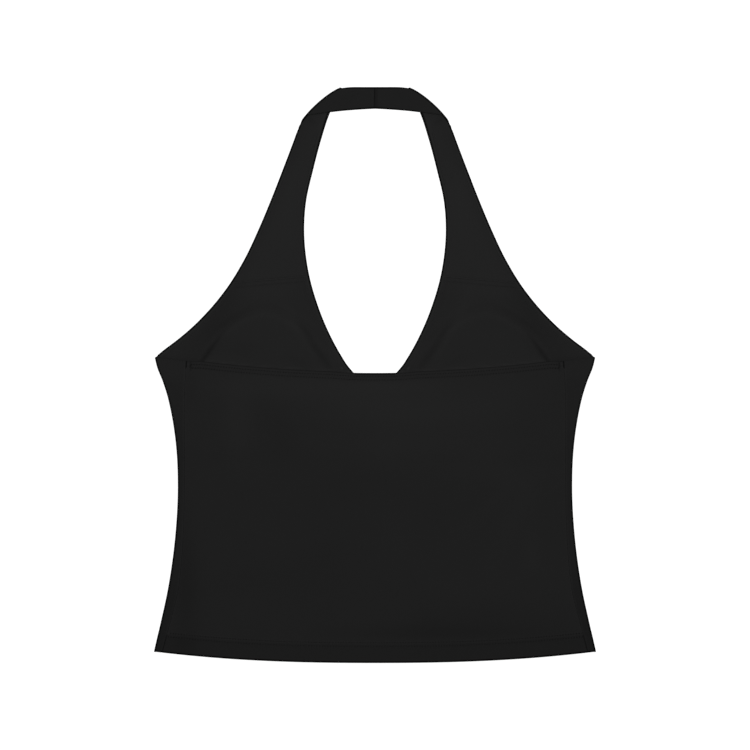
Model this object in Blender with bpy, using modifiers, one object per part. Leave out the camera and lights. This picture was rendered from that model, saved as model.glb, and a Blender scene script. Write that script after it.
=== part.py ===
"""Black halter crop top laid flat with its back up.

The front lies face down and is cut in one with its side flaps, its two halter straps and the
neck strap, which turns over at the shoulders and meets itself at the centre back.  On the front
lie two cup pads, the bust lining over them, and the back panel over all of that.

Frame: +X to the right, +Y towards the neckband and +Z up.  The origin is on the surface that the
top lies on, under the middle of its outline.  Sizes below are in millimetres and MM turns them
into metres.
"""
import math

import bmesh
import bpy
import numpy as np
from mathutils import Vector

MM = 0.001

# Cloth and padding, from the surface up
CLOTH = 1.2
LINING = 1.0
GAP = 0.3
PAD_RIM = 2.2
PAD_CROWN = 7.0

# Levels along the garment, measured from the middle of its outline
HEM_LEVEL = -245.3
HEM_DROP = 9.85
HEM_CURVE = 2.4
HEM_HALF_WIDTH = 193.9
V_LEVEL = -16.0
UNDERARM_LEVEL = 15.5
UNDERARM_LEAN = 0.85
FAN_LEVEL = 181.4

# Top edge of the back panel, and of the flap that meets it
BACK_TOP_SIDE = 12.4
BACK_TOP_CENTRE = 1.2
FLAP_DROP = 3.1

# Shoulder fold, as seen from above: its ends, the bow of its edge and the height of its roll
FOLD_FOOT = Vector((-66.0, 223.5))
FOLD_HEAD = Vector((-31.8, 254.2))
FOLD_BOW = 3.0
FOLD_HEIGHT = 3.4
FOLD_SLIDE = 0.13

# Neckband between the shoulder folds
BAND_TOP = 255.15
BAND_TOP_DROP = 1.55
BAND_TOP_REACH = 34.2
BAND_TOP_CURVE = 4.9
BAND_FOOT = 236.45
BAND_FOOT_TILT = 0.035
BAND_FOOT_BOW = 0.00116
BAND_SAG_LENGTH = 20.0
STRAP_END_X = -40.5
STRAP_END_LEVEL = 232.0
STRAP_END_LEAN = 0.469

# Bust lining
LINING_FOOT = -62.0
LINING_SETTLE = 20.0
LINING_TOP_SIDE = 82.3
LINING_TOP_NECK = 88.3
LINING_SIDE_INSET = 3.4
LINING_EDGE_INSET = 0.9

# Cup pads: a dome whose outline is pointed above its centre and round below it
PAD_X = 98.0
PAD_Y = 3.0
PAD_HALF_WIDTH = 57.0
PAD_RISE = 52.0
PAD_DROP = 48.0
PAD_POINT = 1.55
PAD_ROUND = 2.0
PAD_DOME = 2.2
PAD_EDGE = 0.35
PAD_SIDES = 32
PAD_RINGS = 10

# Looseness of the upper layers over what lies under them
SIDE_PUFF = 0.5
SIDE_PUFF_WIDTH = 14.0
BACK_EASE = 0.8


def table(columns, rows):
    """Rows of sizes with named columns."""
    return np.array(rows, dtype=[(name, float) for name in columns.split()])


# Half widths of the body: the side fold, and the seam of the flap with the back panel
BODY = table("level side seam", [
    (-245.3, 195.7, 187.0),
    (-217.8, 189.5, 180.9),
    (-191.2, 183.8, 175.0),
    (-164.6, 179.5, 171.7),
    (-138.0, 176.5, 170.0),
    (-98.0, 174.6, 169.0),
    (-58.1, 176.6, 169.0),
    (-31.5, 180.8, 169.0),
    (-18.2, 183.9, 168.9),
    (-4.9, 188.2, 168.3),
    (7.5, 193.1, 167.4),
    (15.5, 195.0, 166.9),
])

# Half widths of the V neck and the neck hole
NECK = table("level width", [
    (-16.0, 0.0),
    (-14.0, 4.0),
    (-11.0, 7.2),
    (-5.0, 12.8),
    (2.2, 19.5),
    (8.5, 24.8),
    (15.5, 29.3),
    (30.6, 37.8),
    (48.4, 46.0),
    (66.1, 52.5),
    (83.8, 57.6),
    (101.6, 61.0),
    (128.2, 63.1),
    (154.8, 61.3),
    (181.4, 55.3),
    (208.0, 48.3),
    (232.0, 40.5),
    (252.9, 30.7),
])

# Half widths out to the armhole edge, from the underarm to the shoulder fold
ARMHOLE = table("level width", [
    (17.4, 192.7),
    (21.7, 187.5),
    (30.6, 175.7),
    (39.5, 165.0),
    (57.2, 147.2),
    (75.0, 132.7),
    (101.6, 116.1),
    (128.2, 103.4),
    (154.8, 92.2),
    (181.4, 81.8),
    (208.0, 71.7),
    (216.9, 68.3),
    (222.7, 65.3),
])

# Soft folds that run down the back panel, each side of its centre
BACK_FOLDS = table("x top bottom lean width height", [
    (124.0, 6.0, -104.0, -4.0, 15.0, 1.3),
    (46.0, -24.0, -138.0, 22.0, 19.0, 0.9),
    (140.0, -128.0, -238.0, 20.0, 17.0, 1.1),
])


def smooth(level, levels, values):
    """Value at a level on the smooth curve through a table's rows."""
    slopes = np.gradient(values, levels)
    row = int(np.clip(np.searchsorted(levels, level) - 1, 0, len(levels) - 2))
    span = levels[row + 1] - levels[row]
    t = min(max((level - levels[row]) / span, 0.0), 1.0)
    start = values[row] * (1 + 2 * t) * (1 - t) ** 2 + slopes[row] * span * t * (1 - t) ** 2
    end = values[row + 1] * t * t * (3 - 2 * t) - slopes[row + 1] * span * t * t * (1 - t)
    return float(start + end)


def mix(first, second, share):
    """Point or number that lies the given share of the way from first to second."""
    return first + (second - first) * share


def fall(value, start, end):
    """One before start, nought after end, and an even slope between them."""
    share = min(max((value - start) / (end - start), 0.0), 1.0)
    return 1.0 - share * share * (3.0 - 2.0 * share)


def side(level):
    return smooth(level, BODY["level"], BODY["side"])


def seam(level):
    return smooth(level, BODY["level"], BODY["seam"])


def neck(level):
    return smooth(level, NECK["level"], NECK["width"]) if level > V_LEVEL else 0.0


def armhole(level):
    return smooth(level, ARMHOLE["level"], ARMHOLE["width"])


def hem_sag(x, level):
    """Drop of a body row towards the middle, full at the hem and gone above the waist."""
    share = min(max((level - V_LEVEL) / (HEM_LEVEL - V_LEVEL), 0.0), 1.0)
    return -HEM_DROP * share * share * (1.0 - min(abs(x) / HEM_HALF_WIDTH, 1.0) ** HEM_CURVE)


def pad_reach(x, y):
    """Distance from a cup's centre: 1 on the outline of the pad."""
    across = abs(abs(x) - PAD_X) / PAD_HALF_WIDTH
    if y > PAD_Y:
        return (across ** PAD_POINT + ((y - PAD_Y) / PAD_RISE) ** PAD_POINT) ** (1 / PAD_POINT)
    return (across ** PAD_ROUND + ((PAD_Y - y) / PAD_DROP) ** PAD_ROUND) ** (1 / PAD_ROUND)


def dome(reach):
    """Height of a pad above its rim."""
    return (PAD_CROWN - PAD_RIM) * max(0.0, 1.0 - reach ** PAD_DOME)


def cup_lift(x, y):
    """How far a pad lifts the cloth that lies over it."""
    reach = pad_reach(x, y)
    return (PAD_RIM + 2 * GAP) * fall(reach, 1.05, 1.22) + dome(reach)


def folds(x, y):
    """Height of the back panel's soft folds."""
    rise = 0.0
    for fold in BACK_FOLDS:
        along = (fold["top"] - y) / (fold["top"] - fold["bottom"])
        if 0.0 < along < 1.0:
            across = (abs(x) - fold["x"] - fold["lean"] * along) / fold["width"]
            rise += fold["height"] * math.sin(math.pi * along) ** 2 * math.exp(-across * across)
    return rise


def lining_top(x, y):
    return CLOTH + GAP + cup_lift(x, y) + LINING


def back_top(x, y):
    """Height of the outside of the back panel and of the flaps beside it."""
    over_lining = (LINING + GAP) * (1.0 - fall(y, LINING_FOOT - LINING_SETTLE, LINING_FOOT))
    ease = BACK_EASE * fall(pad_reach(x, y), 1.15, 1.5)
    puff = SIDE_PUFF * fall(side(min(y, UNDERARM_LEVEL)) - abs(x), 0.0, SIDE_PUFF_WIDTH)
    return 2 * CLOTH + GAP + over_lining + cup_lift(x, y) + ease + puff + folds(x, y)


def add_block(cloth, columns, rows, place):
    """Add a grid of cloth, each of its points put where place(column, row) says."""
    grid = bmesh.ops.create_grid(cloth, x_segments=columns, y_segments=rows, size=0.5)
    for point in grid["verts"]:
        column = round((point.co.x + 0.5) * columns)
        row = round((point.co.y + 0.5) * rows)
        point.co = Vector(place(column, row)) * MM


def fabric(name, color, roughness):
    """Matt dyed cloth."""
    material = bpy.data.materials.new(name)
    material.use_nodes = True
    shader = material.node_tree.nodes["Principled BSDF"]
    shader.inputs["Base Color"].default_value = (*color, 1.0)
    shader.inputs["Roughness"].default_value = roughness
    shader.inputs["Metallic"].default_value = 0.0
    return material


def add_object(name, mesh_source, material, collection):
    """Turn a bmesh into a named object of the given material."""
    bmesh.ops.remove_doubles(mesh_source, verts=mesh_source.verts, dist=0.02 * MM)
    mesh = bpy.data.meshes.new(name)
    mesh_source.to_mesh(mesh)
    mesh_source.free()
    mesh.materials.append(material)
    mesh.shade_smooth()
    piece = bpy.data.objects.new(name, mesh)
    collection.objects.link(piece)
    return piece


def finish_cloth(piece, thickness):
    """Mirror the left half of a piece and give it its wall, on the inner side of its face."""
    mirror = piece.modifiers.new("Other half", "MIRROR")
    mirror.use_axis = (True, False, False)
    mirror.use_clip = False
    mirror.merge_threshold = 0.1 * MM
    wall = piece.modifiers.new("Wall", "SOLIDIFY")
    wall.thickness = thickness * MM
    wall.offset = -1.0
    wall.use_even_offset = True
    wall.use_rim = True


def body_levels():
    """Rows of the front's body, from the hem to the underarm."""
    below_v = np.linspace(HEM_LEVEL, V_LEVEL, 17)
    beside_v = [row["level"] for row in NECK if V_LEVEL < row["level"] <= UNDERARM_LEVEL]
    return [*below_v, *beside_v]


def make_front(collection, material):
    """Front panel with its flaps, straps and neckband, outer side down until it folds over."""
    cloth = bmesh.new()
    levels = body_levels()
    last = len(levels) - 1
    columns = 5
    roll_steps = 6
    flap_columns = 2

    def roll_radius(level):
        return back_top(side(level) - CLOTH, level) / 2

    def body_point(column, row):
        level = levels[row]
        inward = column / columns
        x = -mix(side(level) - roll_radius(level), neck(level), inward)
        lean = UNDERARM_LEAN * roll_radius(level) * (1 - inward) if row == last else 0.0
        return x, level + hem_sag(x, level) + lean, 0.0

    def flap_point(column, row):
        level = levels[row]
        radius = roll_radius(level)
        turn_x = side(level) - radius
        if column <= roll_steps:
            angle = math.pi * column / roll_steps
            x = -(turn_x + radius * math.sin(angle))
            z = radius * (1 - math.cos(angle))
            lean = UNDERARM_LEAN * (side(level) + x) * math.cos(angle) if row == last else 0.0
        else:
            inward = (column - roll_steps) / flap_columns
            x = -mix(turn_x, seam(level) + GAP / 2, inward)
            z = mix(2 * radius, back_top(seam(level) + GAP / 2, level), inward)
            lean = 0.0
        if row == last and column >= roll_steps:
            lean = -FLAP_DROP * (side(level) + x) / (side(level) - seam(level))
        return x, level + hem_sag(x, level) + lean, z

    strap_levels = np.linspace(UNDERARM_LEVEL, FAN_LEVEL, 14)
    straight_rows = len(strap_levels) - 1
    fan_rows = 5
    fold_run = FOLD_HEAD - FOLD_FOOT
    fold_out = Vector((-fold_run.y, fold_run.x)).normalized()
    fold_radius = FOLD_HEIGHT / 2

    def fold_line(share):
        """Start of the shoulder roll, on the strap's underside."""
        bow = 4 * FOLD_BOW * share * (1 - share) - fold_radius
        return FOLD_FOOT + fold_run * share + fold_out * bow

    def strap_point(column, row):
        inward = column / columns
        if row == 0:
            return body_point(column, last)
        if row <= straight_rows:
            level = strap_levels[row]
            return -mix(armhole(level), neck(level), inward), level, 0.0
        fan = (row - straight_rows) / fan_rows
        if fan == 1.0:
            point = fold_line(inward)
            return point.x, point.y, 0.0
        foot_level = mix(FAN_LEVEL, fold_line(0.0).y, fan)
        head_level = mix(FAN_LEVEL, fold_line(1.0).y, fan)
        outer = Vector((-armhole(foot_level), foot_level))
        inner = Vector((-neck(head_level), head_level))
        point = mix(outer, inner, inward)
        bow = 4 * FOLD_BOW * inward * (1 - inward) * fan
        return point.x + fold_out.x * bow, point.y + fold_out.y * bow, 0.0

    band_rows = 9

    def band_point(column, row):
        share = column / columns
        if row <= roll_steps:
            angle = math.pi * row / roll_steps
            start = fold_line(share + FOLD_SLIDE * (1 - share) * row / roll_steps)
            point = start + fold_out * fold_radius * math.sin(angle)
            return point.x, point.y, fold_radius * (1 - math.cos(angle))
        run = (row - roll_steps) / band_rows
        foot = fold_line(FOLD_SLIDE)
        head = fold_line(1.0)
        foot_x = mix(foot.x, -GAP / 2, run)
        head_x = mix(head.x, -GAP / 2, run)
        foot_y = BAND_FOOT - BAND_FOOT_TILT * abs(foot_x) - BAND_FOOT_BOW * foot_x ** 2
        head_y = BAND_TOP - BAND_TOP_DROP * (abs(head_x) / BAND_TOP_REACH) ** BAND_TOP_CURVE
        x = mix(foot_x, head_x, share)
        y = mix(foot_y, head_y, share)
        past_strap = x - STRAP_END_X - (y - STRAP_END_LEVEL) * STRAP_END_LEAN
        return x, y, CLOTH + (FOLD_HEIGHT - CLOTH) * fall(past_strap, 0.0, BAND_SAG_LENGTH)

    add_block(cloth, columns, last, body_point)
    add_block(cloth, roll_steps + flap_columns, last, flap_point)
    add_block(cloth, columns, straight_rows + fan_rows, strap_point)
    add_block(cloth, columns, roll_steps + band_rows, band_point)
    bmesh.ops.remove_doubles(cloth, verts=cloth.verts, dist=0.02 * MM)
    bmesh.ops.recalc_face_normals(cloth, faces=cloth.faces)
    body_face = min(cloth.faces, key=lambda face: face.calc_center_median().z)
    if body_face.normal.z > 0.0:
        bmesh.ops.reverse_faces(cloth, faces=cloth.faces)
    piece = add_object("front_panel", cloth, material, collection)
    finish_cloth(piece, CLOTH)


def make_back(collection, material):
    """Back panel from its bottom hem to its top hem, outer side up."""
    cloth = bmesh.new()
    levels = [*np.linspace(HEM_LEVEL, -98.0, 11), *np.linspace(-88.0, BACK_TOP_SIDE, 12)]
    columns = 16

    def point(column, row):
        level = levels[row]
        x = -mix(seam(level) - GAP / 2, 0.0, column / columns)
        upper = 1.0 - fall(level, -98.0, BACK_TOP_SIDE)
        middle = 1.0 - (abs(x) / seam(level)) ** 2
        y = level + hem_sag(x, level) - (BACK_TOP_SIDE - BACK_TOP_CENTRE) * upper * middle
        return x, y, back_top(x, y)

    add_block(cloth, columns, len(levels) - 1, point)
    piece = add_object("back_panel", cloth, material, collection)
    finish_cloth(piece, CLOTH)


def make_lining(collection, material):
    """Bust lining from under the cups up to the seam across the straps."""
    cloth = bmesh.new()
    beside_v = [row["level"] for row in NECK if V_LEVEL < row["level"] < UNDERARM_LEVEL]
    levels = [
        *np.linspace(LINING_FOOT, V_LEVEL, 6),
        *beside_v,
        *np.linspace(UNDERARM_LEVEL + 2.0, LINING_TOP_NECK, 9),
    ]
    columns = 18

    def point(column, row):
        inner_level = levels[row]
        climb = (inner_level - LINING_FOOT) / (LINING_TOP_NECK - LINING_FOOT)
        outer_level = inner_level - (LINING_TOP_NECK - LINING_TOP_SIDE) * climb ** 3
        if outer_level < UNDERARM_LEVEL:
            outer = side(outer_level) - LINING_SIDE_INSET
        else:
            outer = armhole(outer_level) - LINING_EDGE_INSET
        inner = neck(inner_level) + LINING_EDGE_INSET if inner_level > V_LEVEL else 0.0
        inward = column / columns
        x = -mix(outer, inner, inward)
        y = mix(outer_level, inner_level, inward)
        return x, y, lining_top(x, y)

    add_block(cloth, columns, len(levels) - 1, point)
    piece = add_object("bust_lining", cloth, material, collection)
    finish_cloth(piece, LINING)


def make_pad(name, hand, collection, material):
    """Moulded cup pad: flat where it lies on the front, domed above."""
    pad = bmesh.new()
    bmesh.ops.create_uvsphere(pad, u_segments=PAD_SIDES, v_segments=PAD_RINGS, radius=1.0)
    floor = CLOTH + GAP
    for point in pad.verts:
        turn = math.atan2(point.co.y, point.co.x)
        reach = min(math.hypot(point.co.x, point.co.y), 1.0)
        rounding = min(abs(point.co.z) / PAD_EDGE, 1.0)
        height = PAD_RIM / 2 * (1 + math.copysign(rounding, point.co.z))
        if point.co.z > 0:
            height += dome(reach)
        across = math.cos(turn)
        up = math.sin(turn)
        power = PAD_POINT if up > 0 else PAD_ROUND
        scale = reach / (abs(across) ** power + abs(up) ** power) ** (1 / power)
        rise = PAD_RISE if up > 0 else PAD_DROP
        x = hand * PAD_X + across * scale * PAD_HALF_WIDTH
        y = PAD_Y + up * scale * rise
        point.co = Vector((x, y, floor + height)) * MM
    add_object(name, pad, material, collection)


def main():
    for item in list(bpy.data.objects):
        bpy.data.objects.remove(item, do_unlink=True)
    collection = bpy.data.collections.new("Halter crop top")
    bpy.context.scene.collection.children.link(collection)
    outer_cloth = fabric("Black stretch knit", (0.012, 0.012, 0.013), 0.85)
    inner_cloth = fabric("Black lining knit", (0.013, 0.013, 0.014), 0.8)
    foam = fabric("Black pad foam", (0.016, 0.016, 0.017), 0.9)
    make_front(collection, outer_cloth)
    make_back(collection, outer_cloth)
    make_lining(collection, inner_cloth)
    for name, hand in (("cup_pad_left", -1), ("cup_pad_right", 1)):
        make_pad(name, hand, collection, foam)


main()
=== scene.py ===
"""Black halter crop top laid flat with its back up: its knit, sewing and studio.

Each piece of cloth is a closed shell on the form of its solid, finer than it, with rounded edges,
turned hems, seams, soft creases and real threads.  Lengths in the tables are in millimetres and MM
turns them into metres.  +X is to the right, +Y towards the neckband and +Z up from the floor.
"""
import math

import bmesh
import bpy
import numpy as np
from bpy.props import FloatProperty, FloatVectorProperty, IntProperty, PointerProperty
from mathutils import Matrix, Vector
from mathutils.bvhtree import BVHTree


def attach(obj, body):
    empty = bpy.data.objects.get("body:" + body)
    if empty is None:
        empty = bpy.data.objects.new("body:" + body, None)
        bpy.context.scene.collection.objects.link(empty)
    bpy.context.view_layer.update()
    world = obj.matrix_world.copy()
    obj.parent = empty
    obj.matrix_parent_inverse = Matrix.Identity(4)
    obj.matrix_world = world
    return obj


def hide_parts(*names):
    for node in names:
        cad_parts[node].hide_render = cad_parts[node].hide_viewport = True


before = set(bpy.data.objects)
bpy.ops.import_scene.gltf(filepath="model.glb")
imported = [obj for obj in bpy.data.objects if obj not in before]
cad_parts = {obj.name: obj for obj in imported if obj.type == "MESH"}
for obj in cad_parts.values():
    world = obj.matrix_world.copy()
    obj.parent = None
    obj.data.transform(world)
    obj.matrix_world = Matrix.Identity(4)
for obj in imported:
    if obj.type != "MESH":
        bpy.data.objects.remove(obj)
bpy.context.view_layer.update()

bl_info = {
    "name": "Halter crop top",
    "version": (1, 0, 0),
    "blender": (4, 5, 0),
    "location": "3D View > Sidebar > Crop top",
    "description": "Builds a black halter crop top laid flat with its back up",
    "category": "Add Mesh",
}

MM = 0.001

# Fine columns for each coarse one where stitches pull the cloth in, and the rows and columns of the
# rolls, the flap, the fan below the shoulder fold and the pads
SPLIT = 4
SIDE_ROLL_STEPS = 14
FLAP_COLUMNS = 10
SHOULDER_ROLL_STEPS = 18
FAN_ROWS = 22
PAD_SEGMENTS = 96
PAD_RINGS = 40

# Spacing of rows and columns: beside an edge or a splice, beside the V neck, up the strap and on the
# lining; how far past a hem its close rows go; and how fast the back's columns widen
CLOSE_STEP = 0.8
NECK_STEP = 2.4
STRAP_STEP = 0.9
LINING_STEP = 0.5
LINING_OPEN_STEP = 1.7
LINING_HIDDEN_STEPS = (1.0, 3.0)
HEM_BEYOND = 1.4
COLUMN_GROWTH = 0.16

# Cloth and padding, from the floor up
CLOTH = 1.2
LINING = 1.0
GAP = 0.3
PAD_RIM = 2.2
PAD_CROWN = 7.0

# Levels along the garment, measured from the middle of its outline
HEM_LEVEL = -245.3
HEM_DROP = 9.85
HEM_CURVE = 2.4
HEM_HALF_WIDTH = 193.9
HEM_PARALLEL = 24.0
V_LEVEL = -16.0
UNDERARM_LEVEL = 15.5
UNDERARM_LEAN = 0.85
UNDERARM_FADE = 12.0
FAN_LEVEL = 181.4

# Top edge of the back panel, and of the flap that meets it: its level at the side and in the middle,
# how far it rises above the even curve between them, and how much less of that it does in the V
BACK_TOP_SIDE = 12.4
BACK_TOP_CENTRE = 1.2
BACK_TOP_FADE = -98.0
BACK_TOP_RISE = 1.4
BACK_TOP_RISE_END = (152.0, 167.0)
BACK_TOP_DIP = 1.1
BACK_TOP_DIP_END = (14.0, 46.0)
FLAP_DROP = 3.1

# Shoulder fold: its ends, the bow of its edge, the height of its roll, and how far the strap's two
# edges slide along the fold, as shares of its length, on their way round the roll
FOLD_FOOT = np.array((-66.3, 223.5))
FOLD_HEAD = np.array((-31.8, 254.2))
FOLD_BOW = 2.9
FOLD_FULLNESS = 0.8
FOLD_SKEW = 0.1
FOLD_HEIGHT = 3.4
FOOT_START = -0.06
FOOT_SLIDE = 0.28
HEAD_SLIDE = 0.04

# Neckband between the shoulder folds
BAND_TOP = 255.15
BAND_TOP_DROP = 1.55
BAND_TOP_REACH = 34.2
BAND_TOP_CURVE = 4.9
BAND_FOOT = 236.45
BAND_FOOT_TILT = 0.035
BAND_FOOT_BOW = 0.00116
BAND_SAG_LENGTH = 20.0
STRAP_END_X = -40.5
STRAP_END_LEVEL = 232.0
STRAP_END_LEAN = 0.469

# Bust lining
LINING_FOOT = -62.0
LINING_SETTLE = 20.0
LINING_TOP_SIDE = 82.3
LINING_TOP_NECK = 88.3
LINING_SIDE_INSET = 3.4
LINING_EDGE_INSET = 0.9
LINING_ARM_SHADE = 0.6

# Where one form passes into another: the lining's edge from the side into the armhole, and the points
# beside the armhole from square to leaning, both above the underarm; the strap's borders above the
# lining, and the lining's borders above the back
LINING_ARM_TURN = (-1.0, 3.0)
ARMHOLE_SQUARED = (2.5, 6.0)
STRAP_BORDER_START = (0.5, 4.5)
BORDER_FADE = 3.0

# Cup pads: a dome whose outline is pointed above its centre and round below it
PAD_X = 98.0
PAD_Y = 3.0
PAD_HALF_WIDTH = 57.0
PAD_RISE = 52.0
PAD_DROP = 48.0
PAD_POINT = 1.55
PAD_ROUND = 2.0
PAD_DOME = 2.2
PAD_EDGE = 0.35
PAD_SLOPE = (1.05, 1.22)

# How the upper layers stand off what lies under them: the puff beside the side folds, and the back's
# drape over the cups, a soft swelling whose reach is counted in cup sizes; how loosely the back lies,
# and how far from its seams and hems its creases start
SIDE_PUFF = 0.5
SIDE_PUFF_WIDTH = 14.0
DRAPE_HEIGHT = 8.4
DRAPE_REACH = 1.1
BACK_LOOSE = 0.9
CREASE_CLEAR = 26.0
CREASE_CLEAR_HEM = 4.0
CREASE_CLEAR_TOP = 6.0

# Sewing: distances of the stitch rows from the edge that they follow, and the depth of each hem
TOP_HEM_ROWS = (2.8, 5.9)
TOP_HEM_DEPTH = 6.6
BOTTOM_HEM_ROWS = (14.4, 17.7)
BOTTOM_HEM_DEPTH = 18.4
NECK_BORDER = 4.2
NECK_ROW = 3.3
ARMHOLE_BORDER = 4.4
ARMHOLE_ROW = 3.5
STRAP_SEAM_ROWS = (1.3, 4.9)
BORDER_PLACES = (0.0, 0.6, 1.1, 1.6, 2.1, 2.6, 3.0, 3.3, 3.5, 3.8, 4.1, 4.4, 4.8, 5.4, 6.4)
TOP_HEM_END = 162.8
BARTACK_X = 163.3
BARTACK_TOP = 11.0
BARTACK_FOOT = 5.8
BARTACK_WIDTH = 1.3
BARTACK_LEGS = 9
EDGE_ROWS_END = 214.0
SEAM_TACK = 6.4
SEAM_DOT = (-169.9, -73.2)
SEAM_DOT_RUN = (0.6, 1.0)

# How far from an edge the stitch rows end or begin: from a side seam, from the side fold above and on
# the underside, above the lining's top, at the two ends of the strap seam, and above the underarm and
# the V neck; and the distance of the lining's rows from its own edges
SEAM_CLEAR = 1.6
FOLD_CLEAR = 0.8
UNDERSIDE_CLEAR = 3.0
LINING_CLEAR = 1.0
STRAP_SEAM_CLEAR = (2.0, 4.0)
LINING_ROW_LEVELS = (UNDERARM_LEVEL + 3.0, 4.0)
LINING_ROW_PLACE = 2.6

# Points of a path across the body and across a flap, and the shares of a thread's radius, arch and
# sink that a stitch has on the underside
PATH_POINTS = 200
FLAP_PATH_POINTS = 12
UNDERSIDE_THREAD = (0.6, 0.25, 0.5)

# Relief of what is sewn: how high hems, borders and the ridge beside a seam stand, how deep grooves
# and needle holes lie, how wide each of them is, and where the inner edge of a hem, of a border and of
# a border's lighter band slopes away
HEM_RAISE = 0.25
FLAP_HEM_RAISE = 0.15
HEM_PUCKER = 0.06
HEM_PUCKER_LENGTH = 6.5
TOP_PUCKER_SHIFT = 40.0
LOWER_GROOVE = 0.24
GROOVE_WIDTH = 0.42
BORDER_RAISE = 0.32
BORDER_GROOVE = 0.2
BORDER_ROW_WIDTH = 0.4
PIT_DEPTH = 0.22
PIT_WIDTH = 0.58
HEM_SLOPE = (-0.3, 0.7)
BORDER_SLOPE = (-0.4, 0.5)
BAND_SLOPE = (-0.4, 0.4)
SEAM_RIDGE = 0.22
SEAM_RIDGE_PLACE = 1.1
SEAM_RIDGE_WIDTH = 0.8
BAND_SEAM_RIDGE = 0.2
BAND_SEAM_DIP = 0.3
FOOT_THINNED = 0.4
FLAP_TUCK = 0.25
FLAP_TUCK_LENGTH = 1.6
LINING_TUCK = 0.7
LINING_TUCK_LENGTH = 3.0

# Edges of the cloth: the gap and rounding of its seams, how full an edge on the outline is, the shade
# from which an edge counts as one on the outline, and the places of the points beside an edge
SEAM_GAP = 0.06
SEAM_ROUND = 0.05
LINING_ROUND = 0.25
OUTLINE_FULLNESS = 0.3
OUTLINE_MARK = 0.95
EDGE_STEP = 0.75
SEAM_PLACES = (0.0, 0.6, 1.0, 1.4, 1.9)
LEAST_LEAN = 0.4
MERGE_WITHIN = 0.01
LEAST_ROOM = 0.02
LEAST_LEVEL = 0.3

# A distance at which no edge is near
FAR = 99.0

# The knit, in metres: columns and courses of loops, and the depth of loops, thread twist and foam;
# and how many times a metre the dye's broad patches, its fibres, the loops' sway and the foam change
OUTER_WALE = 0.0008
LINING_WALE = 0.0007
COURSE = 0.0006
LOOP_DEPTH = 0.00012
TWIST_DEPTH = 0.00004
FOAM_DEPTH = 0.0002
DYE_PATCHES = 14.0
DYE_FIBRES = 900.0
LOOP_SWAY = 420.0
FOAM_GRAIN = 1500.0

# How far a loop's legs slant, how narrow the gutters between loops are and how deep the painted shade
# in them is, and the height of the yarn beside them; how uneven the dye of thread and foam is, how often
# the thread of a stitch is twisted, and how strong the fine relief of thread and foam looks
LOOP_SLANT = 1.5
GUTTER_SHARPNESS = 5.0
GUTTER_SHADE = 0.18
YARN_HEIGHT = 0.35
THREAD_MOTTLE = 0.3
FOAM_MOTTLE = 0.3
THREAD_TURNS = 4.0
FINE_BUMP = 0.5

# Sewing threads: where the search for the cloth under a stitch starts, in metres from the floor, and
# how far ahead of a stitch its direction is taken
SEARCH_FROM = 0.2
LOOK_AHEAD = 0.4

# The stage, in metres: the lamp, the floor and the camera's sensor in millimetres
LAMP_PLACE = (0.0, 0.3, 1.6)
LAMP_SIZE = 0.7
FLOOR_HALF_SIZE = 30.0
FLOOR_DROP = 0.0004
FLOOR_COLOUR = (0.1, 0.1, 0.1, 1.0)
SENSOR_WIDTH = 36.0

# Shades, from nought to one: the dark edge between two distances from the outline, and how dark the
# needle holes, the top hem's edge and ends, the seams and the band's foot on the strap look
OUTLINE_DARK = (0.7, 1.8)
PIT_SHADE = 1.0
PIT_SHADE_MIDDLE = 0.65
TOP_EDGE_SHADE = 0.42
ROW_END_SHADE = 0.55
TACK_SHADE = 0.85
HEM_SEAM_SHADE = 0.4
CENTRE_SEAM_SHADE = 0.95
ALLOWANCE_SHADE = 0.2
BAND_ON_STRAP = 0.2

# Painted light and shade: how much lighter or darker than the cloth some places are painted, by the way
# they lie and take the light: painted light on raised borders, beside seams, left of the centre seam and
# on rows between needle holes, and painted shade along the borders' rows, on the band and beside the
# armholes; hems, the top hem's band and the flap are made darker
HEM_TONE = -0.12
BAND_TONE = -0.08
CENTRE_SEAM_TONE = 0.12
BORDER_TONE = 0.1
BORDER_ROW_TONE = -0.08
ROW_TONE = 0.16
BACK_SEAM_TONE = 0.2
TOP_BAND_TONE = -0.04
STRAP_ARM_TONE = -0.05
STRAP_ARM_END = (4.0, 12.0)
FLAP_TONE = -0.13
FLAP_UPPER_SHARE = 0.6
FLAP_UPPER_END = (-60.0, -20.0)
FLAP_FOOT_TONE = -0.11
FLAP_FOOT_END = (-210.0, -150.0)
FLAP_HEAD_TONE = 0.06
FLAP_HEAD_LEVEL = 5.0
FLAP_HEAD_END = (4.0, 14.0)
FLAP_SEAM_TONE = 0.26
FLAP_SEAM_END = (0.0, 1.2)
LINING_ARM_TONE = -0.06
LINING_ARM_END = (4.0, 13.0)
LINING_ARM_TOP = (40.0, 70.0)
CUP_RIM_FOOT = (14.0, 34.0)
NECK_LINE_FOOT = (45.0, 70.0)
ABOVE_BACK_END = (146.0, 158.0)


def table(columns, rows):
    """Rows of sizes with named columns."""
    return np.array(rows, dtype=[(name, float) for name in columns.split()])


# Half widths of the body: the side fold, and the seam of the flap with the back panel
BODY = table("level side seam", [
    (-245.3, 195.7, 188.8),
    (-217.8, 189.5, 181.6),
    (-191.2, 183.8, 175.0),
    (-164.6, 179.5, 171.7),
    (-138.0, 176.5, 170.0),
    (-98.0, 174.6, 169.0),
    (-58.1, 176.6, 169.0),
    (-31.5, 180.8, 169.0),
    (-18.2, 183.9, 168.9),
    (-4.9, 188.2, 168.3),
    (7.5, 193.1, 167.4),
    (15.5, 195.0, 166.9),
])

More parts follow.
